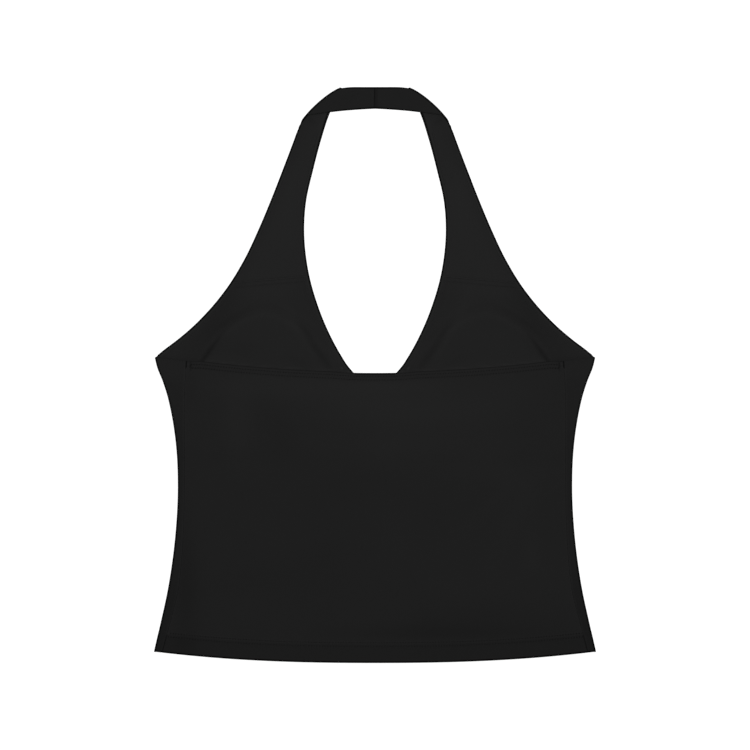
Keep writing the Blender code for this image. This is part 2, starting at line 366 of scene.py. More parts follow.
# Half widths of the V neck and the neck hole
NECK = table("level width", [
    (-16.0, 0.0),
    (-14.0, 4.0),
    (-11.0, 7.2),
    (-5.0, 12.8),
    (2.2, 19.5),
    (8.5, 24.8),
    (15.5, 29.3),
    (30.6, 37.8),
    (48.4, 46.0),
    (66.1, 52.5),
    (83.8, 57.6),
    (101.6, 61.0),
    (128.2, 63.1),
    (154.8, 61.3),
    (181.4, 55.3),
    (208.0, 48.3),
    (232.0, 40.5),
    (252.9, 30.7),
])

# Half widths out to the armhole edge, from the underarm to the shoulder fold
ARMHOLE = table("level width", [
    (17.4, 192.7),
    (21.7, 187.5),
    (30.6, 175.7),
    (39.5, 165.0),
    (57.2, 147.2),
    (75.0, 132.7),
    (101.6, 116.1),
    (128.2, 103.4),
    (154.8, 92.2),
    (181.4, 81.8),
    (208.0, 71.7),
    (216.9, 68.4),
    (222.7, 65.7),
])

# Soft creases of the back panel: centre, direction in degrees, length, half width, height and bow
BACK_CREASES = table("x y turn length width height bow", [
    (-122.0, -46.0, 96.0, 108.0, 13.0, 1.3, 5.0),
    (-148.0, -82.0, 92.0, 120.0, 11.0, -0.5, -4.0),
    (-82.0, -58.0, 88.0, 92.0, 16.0, -0.7, 6.0),
    (124.0, -44.0, 84.0, 96.0, 14.0, 1.1, -4.0),
    (146.0, -100.0, 90.0, 110.0, 10.0, -0.4, 3.0),
    (40.0, -64.0, 24.0, 150.0, 15.0, 0.8, 6.0),
    (62.0, -92.0, 28.0, 170.0, 12.0, -0.6, 8.0),
    (96.0, -108.0, 34.0, 120.0, 10.0, 0.7, 5.0),
    (132.0, -142.0, 78.0, 120.0, 12.0, 1.0, -6.0),
    (104.0, -158.0, 62.0, 110.0, 14.0, -0.5, 7.0),
    (-48.0, -76.0, 158.0, 120.0, 16.0, 0.5, -6.0),
    (-58.0, -178.0, 14.0, 140.0, 15.0, -0.6, 8.0),
    (-20.0, -196.0, 8.0, 180.0, 13.0, 0.6, 6.0),
    (-150.0, -186.0, 64.0, 100.0, 14.0, 0.8, 5.0),
    (-128.0, -206.0, 58.0, 90.0, 11.0, -0.5, 5.0),
    (110.0, -208.0, 6.0, 170.0, 11.0, -0.9, -5.0),
    (152.0, -190.0, 118.0, 96.0, 13.0, 0.9, -5.0),
])

# Small puckers beside the seams and under the ends of the top hem
BACK_PUCKERS = table("x y turn length width height bow", [
    (-158.5, -84.0, 40.0, 22.0, 1.6, 0.35, 1.0),
    (-157.0, -92.0, 36.0, 20.0, 1.5, 0.3, -1.0),
    (-160.0, -112.0, 146.0, 18.0, 1.7, 0.3, 1.0),
    (-164.2, 4.2, 27.0, 10.0, 0.8, 0.35, 0.0),
    (-158.0, -30.0, 30.0, 20.0, 1.8, 0.3, 1.0),
    (158.0, -36.0, 148.0, 22.0, 1.7, 0.35, -1.0),
    (157.0, -70.0, 150.0, 18.0, 1.5, 0.3, 1.0),
    (159.0, -104.0, 36.0, 20.0, 1.6, 0.3, 1.0),
    (164.2, 4.2, 153.0, 10.0, 0.8, 0.35, 0.0),
    (163.0, -176.0, 150.0, 22.0, 1.9, 0.35, 1.0),
    (-164.0, -190.0, 34.0, 20.0, 1.8, 0.3, 1.0),
])

# Creases of the lining: beside the cups, and where the back panel's hem lies on it
LINING_CREASES = table("x y turn length width height bow", [
    (-145.5, 21.0, 60.0, 26.0, 1.6, 0.5, 0.4),
    (145.5, 21.0, 120.0, 26.0, 1.6, 0.45, -0.4),
    (-148.4, 20.0, 60.0, 24.0, 1.0, -0.25, 0.4),
    (148.4, 20.0, 120.0, 24.0, 1.0, -0.25, -0.4),
    (-140.6, 29.9, 51.3, 32.0, 1.3, -0.2, 0.0),
    (140.6, 29.9, 128.7, 32.0, 1.3, -0.18, 0.0),
    (-160.0, 24.0, 40.0, 30.0, 2.4, 0.35, 1.0),
    (160.0, 24.0, 140.0, 30.0, 2.4, 0.35, -1.0),
    (-104.0, 68.0, 168.0, 60.0, 4.0, 0.3, 2.0),
    (101.0, 69.0, 10.0, 66.0, 4.0, 0.3, -2.0),
    (-72.0, 66.0, 118.0, 40.0, 3.0, 0.25, 1.5),
    (74.0, 64.0, 60.0, 42.0, 3.0, 0.25, -1.5),
])

# Shallow creases of the front, which lift it off the floor
FRONT_CREASES = table("x y turn length width height bow", [
    (-118.0, -150.0, 70.0, 110.0, 9.0, 0.8, 5.0),
    (96.0, -144.0, 112.0, 120.0, 10.0, 0.9, -6.0),
    (-30.0, -186.0, 12.0, 130.0, 9.0, 0.6, 6.0),
    (48.0, -114.0, 160.0, 100.0, 8.0, 0.7, -5.0),
    (-72.0, -112.0, 40.0, 70.0, 8.0, 0.6, 4.0),
])

# Slight unevenness of the neckband beside its seam and its folds, and of the strap inside the fold
BAND_CREASES = table("x y turn length width height bow", [
    (-12.0, 246.0, 84.0, 18.0, 2.4, 0.2, 1.0),
    (-33.0, 244.0, 40.0, 20.0, 2.6, 0.3, 1.0),
])
STRAP_CREASES = table("x y turn length width height bow", [
    (-56.0, 224.0, 140.0, 16.0, 2.4, -0.25, 0.5),
    (-72.0, 190.0, 66.0, 60.0, 3.0, 0.2, 1.5),
    (-88.0, 132.0, 70.0, 90.0, 5.0, 0.22, -3.0),
])
# Painted light and shade of the strap: a painted shadow inside the shoulder fold, and soft lighter and darker
# places below it
STRAP_LIGHT_AND_SHADE = table("x y turn length width height bow", [
    (-56.5, 226.0, 142.0, 17.0, 2.6, -0.16, 0.5),
    (-80.0, 137.0, 78.0, 130.0, 9.0, 0.03, -2.0),
    (-70.0, 212.0, 66.0, 100.0, 20.0, -0.08, 0.0),
])

# Painted light and shade on the back panel: soft lighter and darker places, as its folds take the light
BACK_LIGHT_AND_SHADE = table("x y turn length width height bow", [
    (30.0, -29.0, 0.0, 330.0, 20.0, 0.14, 0.0),
    (10.0, -9.0, 0.0, 170.0, 5.5, 0.1, 0.0),
    (0.0, -102.0, 0.0, 460.0, 26.0, -0.025, 0.0),
    (-68.0, -180.0, 8.0, 190.0, 17.0, -0.05, 0.0),
    (50.0, -229.0, 0.0, 300.0, 6.0, -0.09, 0.0),
    (-176.0, -238.0, 0.0, 50.0, 12.0, -0.08, 0.0),
    (-70.0, -11.0, 178.0, 270.0, 14.0, 0.12, 0.0),
    (44.0, -67.0, 0.0, 300.0, 15.0, 0.09, 0.0),
    (118.0, -92.0, 150.0, 70.0, 10.0, 0.05, 0.0),
    (-119.0, -46.0, 92.0, 120.0, 15.0, 0.11, 2.0),
    (-80.0, -56.0, 86.0, 60.0, 9.0, -0.04, 0.0),
    (-163.0, -12.0, 90.0, 60.0, 6.0, -0.06, 0.0),
    (-171.0, -178.0, 95.0, 215.0, 13.0, -0.18, 0.0),
    (128.0, -124.0, 62.0, 150.0, 9.0, 0.05, 4.0),
    (102.0, -118.0, 40.0, 120.0, 7.0, 0.04, 3.0),
    (138.0, -160.0, 80.0, 60.0, 8.0, 0.08, 0.0),
    (95.0, -222.0, 1.0, 240.0, 13.0, -0.1, 0.0),
    (180.0, -236.0, 0.0, 50.0, 16.0, -0.03, 0.0),
])

# Painted light and shade on the lining: painted shade on the inner flanks of the cups and at the tucks
# at their outer ends, lighter places beside them, and two small lighter spots where the neck's stitch
# rows end
LINING_LIGHT_AND_SHADE = table("x y turn length width height bow", [
    (-47.9, 17.8, 125.5, 60.0, 3.0, -0.14, 0.0),
    (47.9, 17.8, 54.5, 60.0, 3.0, -0.14, 0.0),
    (-63.6, 39.3, 133.0, 40.0, 2.5, -0.13, -1.5),
    (63.6, 39.3, 47.0, 40.0, 2.5, -0.13, 1.5),
    (-56.3, 28.8, 124.4, 46.0, 2.4, -0.11, 0.0),
    (56.0, 28.9, 55.6, 46.0, 2.4, -0.1, 0.0),
    (-43.0, 10.2, 131.0, 26.0, 2.4, -0.04, 0.0),
    (44.0, 10.2, 49.0, 26.0, 2.4, -0.04, 0.0),
    (-60.3, 26.0, 124.4, 46.0, 2.4, 0.05, 0.0),
    (60.8, 25.8, 55.6, 46.0, 2.4, 0.07, 0.0),
    (-140.6, 29.9, 51.3, 34.0, 1.5, -0.16, 0.0),
    (140.6, 29.9, 128.7, 34.0, 1.5, -0.14, 0.0),
    (-124.0, 48.5, 32.0, 60.0, 4.5, -0.1, 1.0),
    (124.0, 48.5, 148.0, 60.0, 4.5, -0.08, -1.0),
    (-35.5, 15.0, 118.0, 34.0, 3.0, 0.08, 0.0),
    (35.5, 15.0, 62.0, 34.0, 3.0, 0.08, 0.0),
    (-148.5, 18.0, 54.0, 50.0, 1.7, -0.28, 0.6),
    (148.5, 18.0, 126.0, 50.0, 1.7, -0.26, -0.6),
    (-150.5, 15.0, 54.0, 30.0, 2.2, -0.12, 0.6),
    (150.5, 15.0, 126.0, 30.0, 2.2, -0.12, -0.6),
    (-147.0, 43.0, 47.0, 104.0, 8.0, -0.13, -2.0),
    (147.0, 43.0, 133.0, 104.0, 8.0, -0.12, 2.0),
    (-142.0, 26.0, 50.0, 50.0, 5.0, -0.08, 0.0),
    (142.0, 26.0, 130.0, 50.0, 5.0, -0.06, 0.0),
    (-93.0, 78.0, 8.0, 90.0, 11.0, 0.11, 0.0),
    (93.0, 78.0, 172.0, 90.0, 11.0, 0.11, 0.0),
    (-76.0, 56.0, 118.0, 56.0, 5.0, 0.07, 0.0),
    (76.0, 56.0, 62.0, 56.0, 5.0, 0.07, 0.0),
    (-121.0, 24.0, 0.0, 44.0, 7.0, -0.05, 0.0),
    (-66.0, 10.0, 148.0, 44.0, 4.0, -0.08, 0.0),
    (68.0, 10.0, 32.0, 44.0, 4.0, -0.06, 0.0),
    (-29.3, 5.8, 40.0, 3.4, 0.9, 0.7, 0.0),
    (29.3, 5.8, 40.0, 4.4, 0.8, 0.7, 0.0),
])

# Painted light and shade in soft lighter and darker lines that follow an edge, where a rim, border or
# ridge catches the light or lies in shade: their distance from it, half width, and how much lighter or
# darker they are painted.  The cup's rim counts its distances in cup sizes.
CUP_RIM_LINES = table("place width tone", [(0.98, 0.055, 0.08), (1.14, 0.06, 0.01)])
LINING_TOP_LINES = table("place width tone", [
    (0.6, 1.0, 0.1),
    *((row, 0.6, -0.04) for row in STRAP_SEAM_ROWS),
])
LINING_NECK_LINES = table("place width tone", [(1.5, 0.6, 0.06), (2.9, 0.9, 0.05)])
LINING_NECK_UPPER_LINES = table("place width tone", [(5.6, 1.6, -0.05)])
LINING_ARM_LINES = table("place width tone", [(2.2, 0.7, 0.08)])
ABOVE_BACK_LINES = table("place width tone", [(0.9, 0.9, 0.3), (3.0, 3.0, 0.05)])
BACK_TOP_LINES = table("place width tone", [(1.2, 0.8, 0.05)])
FLAP_SEAM_LINES = table("place width tone", [(SEAM_RIDGE_PLACE, 0.7, 0.06)])


def smooth(level, rows, column):
    """Values at some levels on the smooth curve through a column of a table."""
    levels, values = rows["level"], rows[column]
    slopes = np.gradient(values, levels)
    row = np.clip(np.searchsorted(levels, level) - 1, 0, len(levels) - 2)
    span = levels[row + 1] - levels[row]
    t = np.clip((level - levels[row]) / span, 0.0, 1.0)
    start = values[row] * (1 + 2 * t) * (1 - t) ** 2 + slopes[row] * span * t * (1 - t) ** 2
    end = values[row + 1] * t * t * (3 - 2 * t) - slopes[row + 1] * span * t * t * (1 - t)
    return start + end


def mix(first, second, share):
    """Point or number that lies the given share of the way from first to second."""
    return first + (second - first) * share


def fall(value, start, end):
    """One before start, nought after end, and an even slope between them."""
    share = np.clip((value - start) / (end - start), 0.0, 1.0)
    return 1.0 - share * share * (3.0 - 2.0 * share)


def bump(value, place, width):
    """A smooth ridge of height one at a place."""
    return np.exp(-(((value - place) / width) ** 2))


def lines(distance, rows):
    """Painted light and shade of a table's soft lines at some distance from the edge that they follow."""
    return sum(row["tone"] * bump(distance, row["place"], row["width"]) for row in rows)


def side(level):
    """Half width of the body at its side fold."""
    return smooth(level, BODY, "side")


def seam(level):
    """Half width of the back panel at its seam."""
    return smooth(level, BODY, "seam")


def neck(level):
    """Half width of the V neck and the neck hole."""
    return np.where(level > V_LEVEL, smooth(level, NECK, "width"), 0.0)


def armhole(level):
    """Half width out to the armhole edge."""
    return smooth(level, ARMHOLE, "width")


def graded(start, end, spots, fine, coarse, growth=0.3):
    """Places from start to end, close together near the spots and wider apart away from them."""
    places = [start]
    while True:
        near = min(abs(places[-1] - spot) for spot in spots)
        step = min(max(fine, growth * near), coarse)
        if end - places[-1] <= 1.4 * step:
            return np.array([*places, end])
        places.append(places[-1] + step)


def hem_sag(x, level):
    """Drop of a body row towards the middle: full along the hem and gone above the waist."""
    share = np.clip((level - V_LEVEL) / (HEM_LEVEL + HEM_PARALLEL - V_LEVEL), 0.0, 1.0)
    return -HEM_DROP * share ** 2 * (1.0 - np.minimum(np.abs(x) / HEM_HALF_WIDTH, 1.0) ** HEM_CURVE)


def back_y(x, level):
    """Place along the garment of a point on one of the back panel's rows."""
    upper = 1.0 - fall(level, BACK_TOP_FADE, BACK_TOP_SIDE)
    middle = 1.0 - (np.abs(x) / seam(level)) ** 2
    raised = BACK_TOP_RISE - BACK_TOP_DIP * fall(np.abs(x), *BACK_TOP_DIP_END)
    raised = raised * fall(np.abs(x), *BACK_TOP_RISE_END)
    return level + hem_sag(x, level) + (raised - (BACK_TOP_SIDE - BACK_TOP_CENTRE) * middle) * upper


def pad_reach(x, y):
    """Distance from a cup's centre: 1 on the outline of the pad."""
    across = np.abs(np.abs(x) - PAD_X) / PAD_HALF_WIDTH
    up = np.maximum(y - PAD_Y, 0.0) / PAD_RISE
    down = np.maximum(PAD_Y - y, 0.0) / PAD_DROP
    pointed = (across ** PAD_POINT + up ** PAD_POINT) ** (1 / PAD_POINT)
    rounded = (across ** PAD_ROUND + down ** PAD_ROUND) ** (1 / PAD_ROUND)
    return np.where(y > PAD_Y, pointed, rounded)


def dome(reach):
    """Height of a pad above its rim."""
    return (PAD_CROWN - PAD_RIM) * np.maximum(0.0, 1.0 - reach ** PAD_DOME)


def cup_lift(x, y):
    """How far a pad lifts the cloth that lies over it."""
    reach = pad_reach(x, y)
    return (PAD_RIM + 2 * GAP) * fall(reach, *PAD_SLOPE) + dome(reach)


def creases(x, y, rows):
    """Height of a table's creases, each of them full in its middle and gone at its ends."""
    height = np.zeros(np.broadcast(x, y).shape)
    for row in rows:
        turn = math.radians(row["turn"])
        dx, dy = x - row["x"], y - row["y"]
        along = np.clip((dx * math.cos(turn) + dy * math.sin(turn)) * 2 / row["length"], -1.0, 1.0)
        across = dy * math.cos(turn) - dx * math.sin(turn) - row["bow"] * (1.0 - along ** 2)
        window = np.cos(along * math.pi / 2) ** 2
        height = height + row["height"] * window * bump(across, 0.0, row["width"])
    return height


def pits(x, reach, pitch, phase):
    """Needle holes between the stitches of a row that starts at -reach: one in each of them."""
    turn = 2 * math.pi * ((x + reach) / pitch - phase + 0.5)
    return (0.5 + 0.5 * np.cos(turn)) ** 4


def ripple(place, pitch):
    """Uneven waves between -1 and 1 along a sewn row."""
    turn = 2 * math.pi * place / pitch
    return (np.sin(turn) + 0.7 * np.sin(1.618 * turn + 1.3) + 0.5 * np.sin(0.437 * turn + 0.4)) / 2.2


def lining_top(x, y):
    """Height of the side of the lining that shows, before its creases."""
    return CLOTH + GAP + cup_lift(x, y) + LINING


def back_top(x, y):
    """Height of the outside of the back panel and of the flaps beside it, before its creases."""
    over_lining = (LINING + GAP) * (1.0 - fall(y, LINING_FOOT - LINING_SETTLE, LINING_FOOT))
    over_cups = DRAPE_HEIGHT * bump(pad_reach(x, y), 0.0, DRAPE_REACH)
    puff = SIDE_PUFF * fall(side(np.minimum(y, UNDERARM_LEVEL)) - np.abs(x), 0.0, SIDE_PUFF_WIDTH)
    return 2 * CLOTH + GAP + over_lining + over_cups + puff


def front_rise(x, y):
    """How far the front's creases lift it off the floor, and what lies on it with it."""
    return creases(x, y, FRONT_CREASES)


def back_height(x, y):
    """Height of the outside of the back panel with its creases, which end at its seams and hems."""
    open_cloth = 1.0 - fall(seam(y) - np.abs(x), 0.0, CREASE_CLEAR)
    for distance, start in ((y - HEM_LEVEL, CREASE_CLEAR_HEM), (BACK_TOP_SIDE - y, CREASE_CLEAR_TOP)):
        open_cloth = open_cloth * (1.0 - fall(distance, start, start + CREASE_CLEAR))
    loose = open_cloth * (BACK_LOOSE + creases(x, y, BACK_CREASES))
    return back_top(x, y) + front_rise(x, y) + loose


def hem_step(distance, depth):
    """One on a hem's doubled band, and nought past its inner edge."""
    return fall(distance - depth, *HEM_SLOPE)


def turned_hem(distance, depth, rows, raise_by, place, groove=0.0):
    """Relief of a turned hem: a doubled band, a groove along each stitch row, and slight puckers."""
    relief = raise_by * hem_step(distance, depth)
    for row in rows:
        relief = relief - groove * bump(distance, row, GROOVE_WIDTH)
        relief = relief + HEM_PUCKER * ripple(place, HEM_PUCKER_LENGTH) * bump(distance, row + 1.6, 2.6)
    return relief


def outline_shade(*distances):
    """Painted shade of a point in the dark, turned-down edge of the cloth, from its distance to it."""
    nearest = np.minimum.reduce(np.broadcast_arrays(*distances))
    return fall(nearest, *OUTLINE_DARK)


def block(x, y, z, relief=0.0, wall=CLOTH, shade=0.0, tone=0.0, grain=None):
    """A grid of cloth: points, relief along the normal, wall, painted shade and light, and place in the cut.
    """
    shape = np.broadcast(x, y, z).shape
    grid = {
        "points": np.stack([np.broadcast_to(part, shape) for part in (x, y, z)], axis=-1),
        "relief": np.broadcast_to(relief, shape),
        "wall": np.broadcast_to(wall, shape),
        "shade": np.broadcast_to(shade, shape),
        "tone": np.broadcast_to(tone, shape),
    }
    grain = grain if grain is not None else (x, y)
    grid["grain"] = np.stack([np.broadcast_to(part, shape) for part in grain], axis=-1)
    return grid


def mirrored(grid):
    """The same grid on the other side of the garment."""
    other = dict(grid)
    other["points"] = grid["points"] * np.array((-1.0, 1.0, 1.0))
    other["grain"] = grid["grain"] * np.array((-1.0, 1.0))
    return other


def set_marks(mesh, marks):
    """Store numbers for each point of a mesh under their names."""
    for name, values in marks.items():
        attribute = mesh.attributes.new(name, "FLOAT", "POINT")
        attribute.data.foreach_set("value", np.ascontiguousarray(values, np.float32))


def read_mark(mesh, name):
    """The numbers that a mesh keeps under a name."""
    values = np.zeros(len(mesh.vertices), np.float32)
    mesh.attributes[name].data.foreach_get("value", values)
    return values.astype(float)


def read_points(mesh):
    """Places of a mesh's points."""
    points = np.zeros(len(mesh.vertices) * 3, np.float32)
    mesh.vertices.foreach_get("co", points)
    return points.reshape(-1, 3).astype(float)


def read_normals(mesh):
    """Directions square to a mesh at its points."""
    normals = np.zeros(len(mesh.vertices) * 3, np.float32)
    mesh.vertex_normals.foreach_get("vector", normals)
    return normals.reshape(-1, 3).astype(float)


def numbers(grids):
    """For each grid, the numbers that its points get when the grids are joined."""
    sizes = [grid["points"].shape[:2] for grid in grids]
    starts = np.concatenate([[0], np.cumsum([rows * columns for rows, columns in sizes])])
    return [start + np.arange(size[0] * size[1]).reshape(size) for start, size in zip(starts, sizes)]


def splice(coarse, fine):
    """Triangles between a row of points and a row with SPLIT times as many steps."""
    near, far = coarse[:-1], coarse[1:]
    corners = [fine[k:len(fine) - SPLIT + k:SPLIT] for k in range(SPLIT)] + [fine[SPLIT::SPLIT]]
    half = SPLIT // 2
    faces = [np.stack([near, corners[k + 1], corners[k]], axis=1) for k in range(half)]
    faces.append(np.stack([near, far, corners[half]], axis=1))
    faces += [np.stack([far, corners[k + 1], corners[k]], axis=1) for k in range(half, SPLIT)]
    return np.concatenate(faces)


def outer_surface(name, grids, faces_up, splices=()):
    """Join grids of cloth into one open surface, in millimetres, whose lowest face looks as told."""
    faces = []
    for corner in numbers(grids):
        ring = (corner[:-1, :-1], corner[:-1, 1:], corner[1:, 1:], corner[1:, :-1])
        faces += np.stack(ring, axis=-1).reshape(-1, 4).tolist()
    for strip in splices:
        faces += strip.tolist()
    mesh = bpy.data.meshes.new(name)
    points = np.concatenate([grid["points"].reshape(-1, 3) for grid in grids])
    mesh.from_pydata(points.tolist(), [], faces)
    marks = {}
    for key in ("relief", "wall", "shade", "tone"):
        marks[key] = np.concatenate([grid[key].ravel() for grid in grids])
    grain = np.concatenate([grid["grain"].reshape(-1, 2) for grid in grids])
    marks["grain_x"], marks["grain_y"] = grain.T
    set_marks(mesh, marks)
    cloth = bmesh.new()
    cloth.from_mesh(mesh)
    bmesh.ops.remove_doubles(cloth, verts=cloth.verts, dist=MERGE_WITHIN)
    bmesh.ops.dissolve_degenerate(cloth, edges=cloth.edges, dist=MERGE_WITHIN / 2)
    bmesh.ops.recalc_face_normals(cloth, faces=cloth.faces)
    lowest = min(cloth.faces, key=lambda face: face.calc_center_median().z)
    if (lowest.normal.z > 0.0) != faces_up:
        bmesh.ops.reverse_faces(cloth, faces=cloth.faces)
    cloth.to_mesh(mesh)
    cloth.free()
    return mesh


def open_edges(mesh):
    """Edges of one face only, each as its two points in the order in which the face has them."""
    corners = np.zeros(len(mesh.loops), np.int32)
    mesh.loops.foreach_get("vertex_index", corners)
    pairs = []
    for face in mesh.polygons:
        ring = corners[face.loop_start:face.loop_start + face.loop_total]
        pairs.append(np.stack([ring, np.roll(ring, -1)], axis=1))
    pairs = np.concatenate(pairs)
    keys = np.sort(pairs, axis=1)
    _, first, count = np.unique(keys, axis=0, return_index=True, return_counts=True)
    return pairs[first[count == 1]]


def rim_outward(edges, points, normals):
    """Rim points of an open surface, and for each the direction out of the cloth's edge."""
    outward = np.zeros_like(points)
    run = points[edges[:, 1]] - points[edges[:, 0]]
    run /= np.linalg.norm(run, axis=1)[:, None]
    for end in (0, 1):
        np.add.at(outward, edges[:, end], np.cross(run, normals[edges[:, end]]))
    rim = np.unique(edges)
    return rim, outward[rim] / np.linalg.norm(outward[rim], axis=1)[:, None]


def rim_room(outer, points, rim, outward, most):
    """How far each rim point may draw back for its rounding: at most half way to the cloth beside it."""
    ends = np.zeros(len(outer.edges) * 2, np.int32)
    outer.edges.foreach_get("vertices", ends)
    ends = ends.reshape(-1, 2)
    away, on_rim = np.zeros_like(points), np.zeros(len(points), bool)
    away[rim], on_rim[rim] = outward, True
    depth = np.full(len(points), 2 * most)
    for first, second in ((0, 1), (1, 0)):
        near, far = ends[:, first], ends[:, second]
        chosen = on_rim[near] & ~on_rim[far]
        near, far = near[chosen], far[chosen]
        np.minimum.at(depth, near, ((points[near] - points[far]) * away[near]).sum(axis=1))
    return np.clip(depth[rim] / 2, LEAST_ROOM, most)[:, None]


def stand_upright(normals, outward, chosen):
    """Normals of rim points, with the chosen ones turned square to the level way out of the edge."""
    level_out = outward * np.array((1.0, 1.0, 0.0)) * chosen[:, None]
    level_out /= np.maximum(np.linalg.norm(level_out, axis=1), LEAST_LEVEL)[:, None]
    return normals - level_out * (normals * level_out).sum(axis=1)[:, None]


def thicken(name, outer, edge_round, rim_rings):
    """Closed cloth from its smooth outer surface: its relief, an inner side and rounded open edges."""
    points, normals = read_points(outer), read_normals(outer)
    wall = read_mark(outer, "wall")
    edges = open_edges(outer)
    rim, outward = rim_outward(edges, points, normals)
    on_outline = read_mark(outer, "shade")[rim] > OUTLINE_MARK
    normals[rim] = stand_upright(normals[rim], outward, ~on_outline)
    relief = read_mark(outer, "relief")
    inner = points + normals * (np.maximum(relief, 0.0) - wall)[:, None]
    points += normals * relief[:, None]
    room = rim_room(outer, points, rim, outward, edge_round)
    room = np.where(on_outline[:, None], room, np.minimum(room, SEAM_ROUND))
    bulge = room + OUTLINE_FULLNESS * on_outline[:, None]
    points[rim] -= outward * room
    inner[rim] -= outward * room
    count = len(points)
    place = np.full(count, -1)
    place[rim] = np.arange(len(rim))
    middle = (points[rim] + inner[rim]) / 2
    half_wall = (points[rim] - inner[rim]) / 2
    rings = []
    for ring in range(1, rim_rings + 1):
        turn = math.pi * ring / (rim_rings + 1)
        rings.append(middle + half_wall * math.cos(turn) + outward * bulge * math.sin(turn))
    faces = [tuple(face.vertices) for face in outer.polygons]
    faces += [tuple(corner + count for corner in reversed(face.vertices)) for face in outer.polygons]
    first, second = place[edges[:, 0]], place[edges[:, 1]]
    starts = [edges[:, 0]] + [2 * count + k * len(rim) + first for k in range(rim_rings)]
    ends = [edges[:, 1]] + [2 * count + k * len(rim) + second for k in range(rim_rings)]
    starts.append(edges[:, 0] + count)
    ends.append(edges[:, 1] + count)
    for k in range(rim_rings + 1):
        strip = np.stack([ends[k], starts[k], starts[k + 1], ends[k + 1]], axis=1)
        faces += [tuple(face) for face in strip.tolist()]
    mesh = bpy.data.meshes.new(name)
    whole = np.concatenate([points, inner, *rings])
    whole[:, 2] = np.maximum(whole[:, 2], 0.0)
    mesh.from_pydata((whole * MM).tolist(), [], faces)
    marks = {}
    for key in ("shade", "tone", "grain_x", "grain_y"):
        values = read_mark(outer, key)
        marks[key] = np.concatenate([values, values, *[values[rim]] * rim_rings])
    marks["inside"] = np.concatenate([np.zeros(count), np.ones(count), np.zeros(rim_rings * len(rim))])
    set_grain(mesh, marks.pop("grain_x") * MM, marks.pop("grain_y") * MM)
    set_marks(mesh, marks)
    mesh.shade_smooth()
    bpy.data.meshes.remove(outer)
    return mesh


def set_grain(mesh, across, along):
    """Lay the cloth's grain on a mesh as its UV map, in metres of the cut."""
    layer = mesh.uv_layers.new(name="Grain")
    corners = np.zeros(len(mesh.loops), np.int32)
    mesh.loops.foreach_get("vertex_index", corners)
    places = np.stack([across[corners], along[corners]], axis=1)
    layer.data.foreach_set("uv", places.astype(np.float32).ravel())


def edge_slope(curve, level):
    """How fast a half width grows with the level."""
    return curve(level + 0.5) - curve(level - 0.5)


def edge_lean(curve, ends, outer, inner):
    """How squarely rows meet the edge that they end at: the cosine of what they lean from the square."""
    slope = edge_slope(curve, ends[:, 1])
    square = np.stack([np.ones_like(slope), slope], axis=1)
    direction = (inner - outer) / np.linalg.norm(inner - outer, axis=1)[:, None]
    cosine = (square * direction).sum(axis=1) / np.linalg.norm(square, axis=1)
    return np.clip(np.abs(cosine), LEAST_LEAN, 1.0)


def across_rows(outer, inner, outer_lean, inner_lean, middle):
    """Points of rows that run from an outer to an inner edge, with columns that follow both edges.

    outer and inner are the rows' end points, and the leans say how squarely a row meets each edge.
    Gives x, y and the distance of every point from the two edges.
    """
    width = np.linalg.norm(inner - outer, axis=1)[:, None]
    places = np.array(BORDER_PLACES)[None]
    start = places / outer_lean[:, None]
    end = width - places[:, ::-1] / inner_lean[:, None]
    between = mix(start[:, -1:], end[:, :1], np.linspace(0.0, 1.0, middle + 2)[None, 1:-1])
    along = np.concatenate([start, between, end], axis=1)
    points = outer[:, None] + (inner - outer)[:, None] * (along / width)[..., None]
    return points[..., 0], points[..., 1], along * outer_lean[:, None], (width - along) * inner_lean[:, None]


def border_relief(distance, border, row):
    """Raised border of a turned edge on the inside, with the groove of its stitch row."""
    raised = BORDER_RAISE * fall(distance - border, *BORDER_SLOPE)
    return raised - BORDER_GROOVE * bump(distance, row, BORDER_ROW_WIDTH)


def underarm_lean(level):
    """Share of the underarm's lean that a row has: all of it in the top row of the body."""
    return 1.0 - fall(level, UNDERARM_LEVEL - UNDERARM_FADE, UNDERARM_LEVEL)


def roll_radius(level):
    """Radius of the side fold's roll."""
    return back_top(side(level) - CLOTH, level) / 2


def fold_frame():
    """Run of the shoulder fold, and the direction square to it, away from the strap."""
    run = FOLD_HEAD - FOLD_FOOT
    out = np.array((-run[1], run[0]))
    return run, out / np.linalg.norm(out)


def fold_bow(share):
    """How far the fold's edge bows out from the straight line between its ends."""
    inside = np.clip(share, 0.0, 1.0)
    return FOLD_BOW * (4 * inside * (1 - inside)) ** FOLD_FULLNESS * (1 + FOLD_SKEW * (inside - 0.5))


def fold_line(share):
    """Where the strap starts to rise into the shoulder roll, and where it ends above that line."""
    run, out = fold_frame()
    return FOLD_FOOT + run * share[..., None] + out * (fold_bow(share) - FOLD_HEIGHT / 2)[..., None]


def fold_shares(turn, share):
    """Places along the fold of the strap's columns once they have gone some of the way round it."""
    return mix(FOOT_START + FOOT_SLIDE * turn, 1.0 + HEAD_SLIDE * turn, share)


def body_levels(sizes):
    """Levels of the rows of the front's body, close together at the hem and the underarm."""
    spots = [HEM_LEVEL, HEM_LEVEL + BOTTOM_HEM_ROWS[0], HEM_LEVEL + BOTTOM_HEM_ROWS[1], UNDERARM_LEVEL]
    below = graded(HEM_LEVEL, V_LEVEL, spots, sizes.fine_step / MM, sizes.hidden_step / MM)
    beside = graded(V_LEVEL, UNDERARM_LEVEL, spots + [V_LEVEL], CLOSE_STEP, NECK_STEP)
    return np.concatenate([below, beside[1:]])


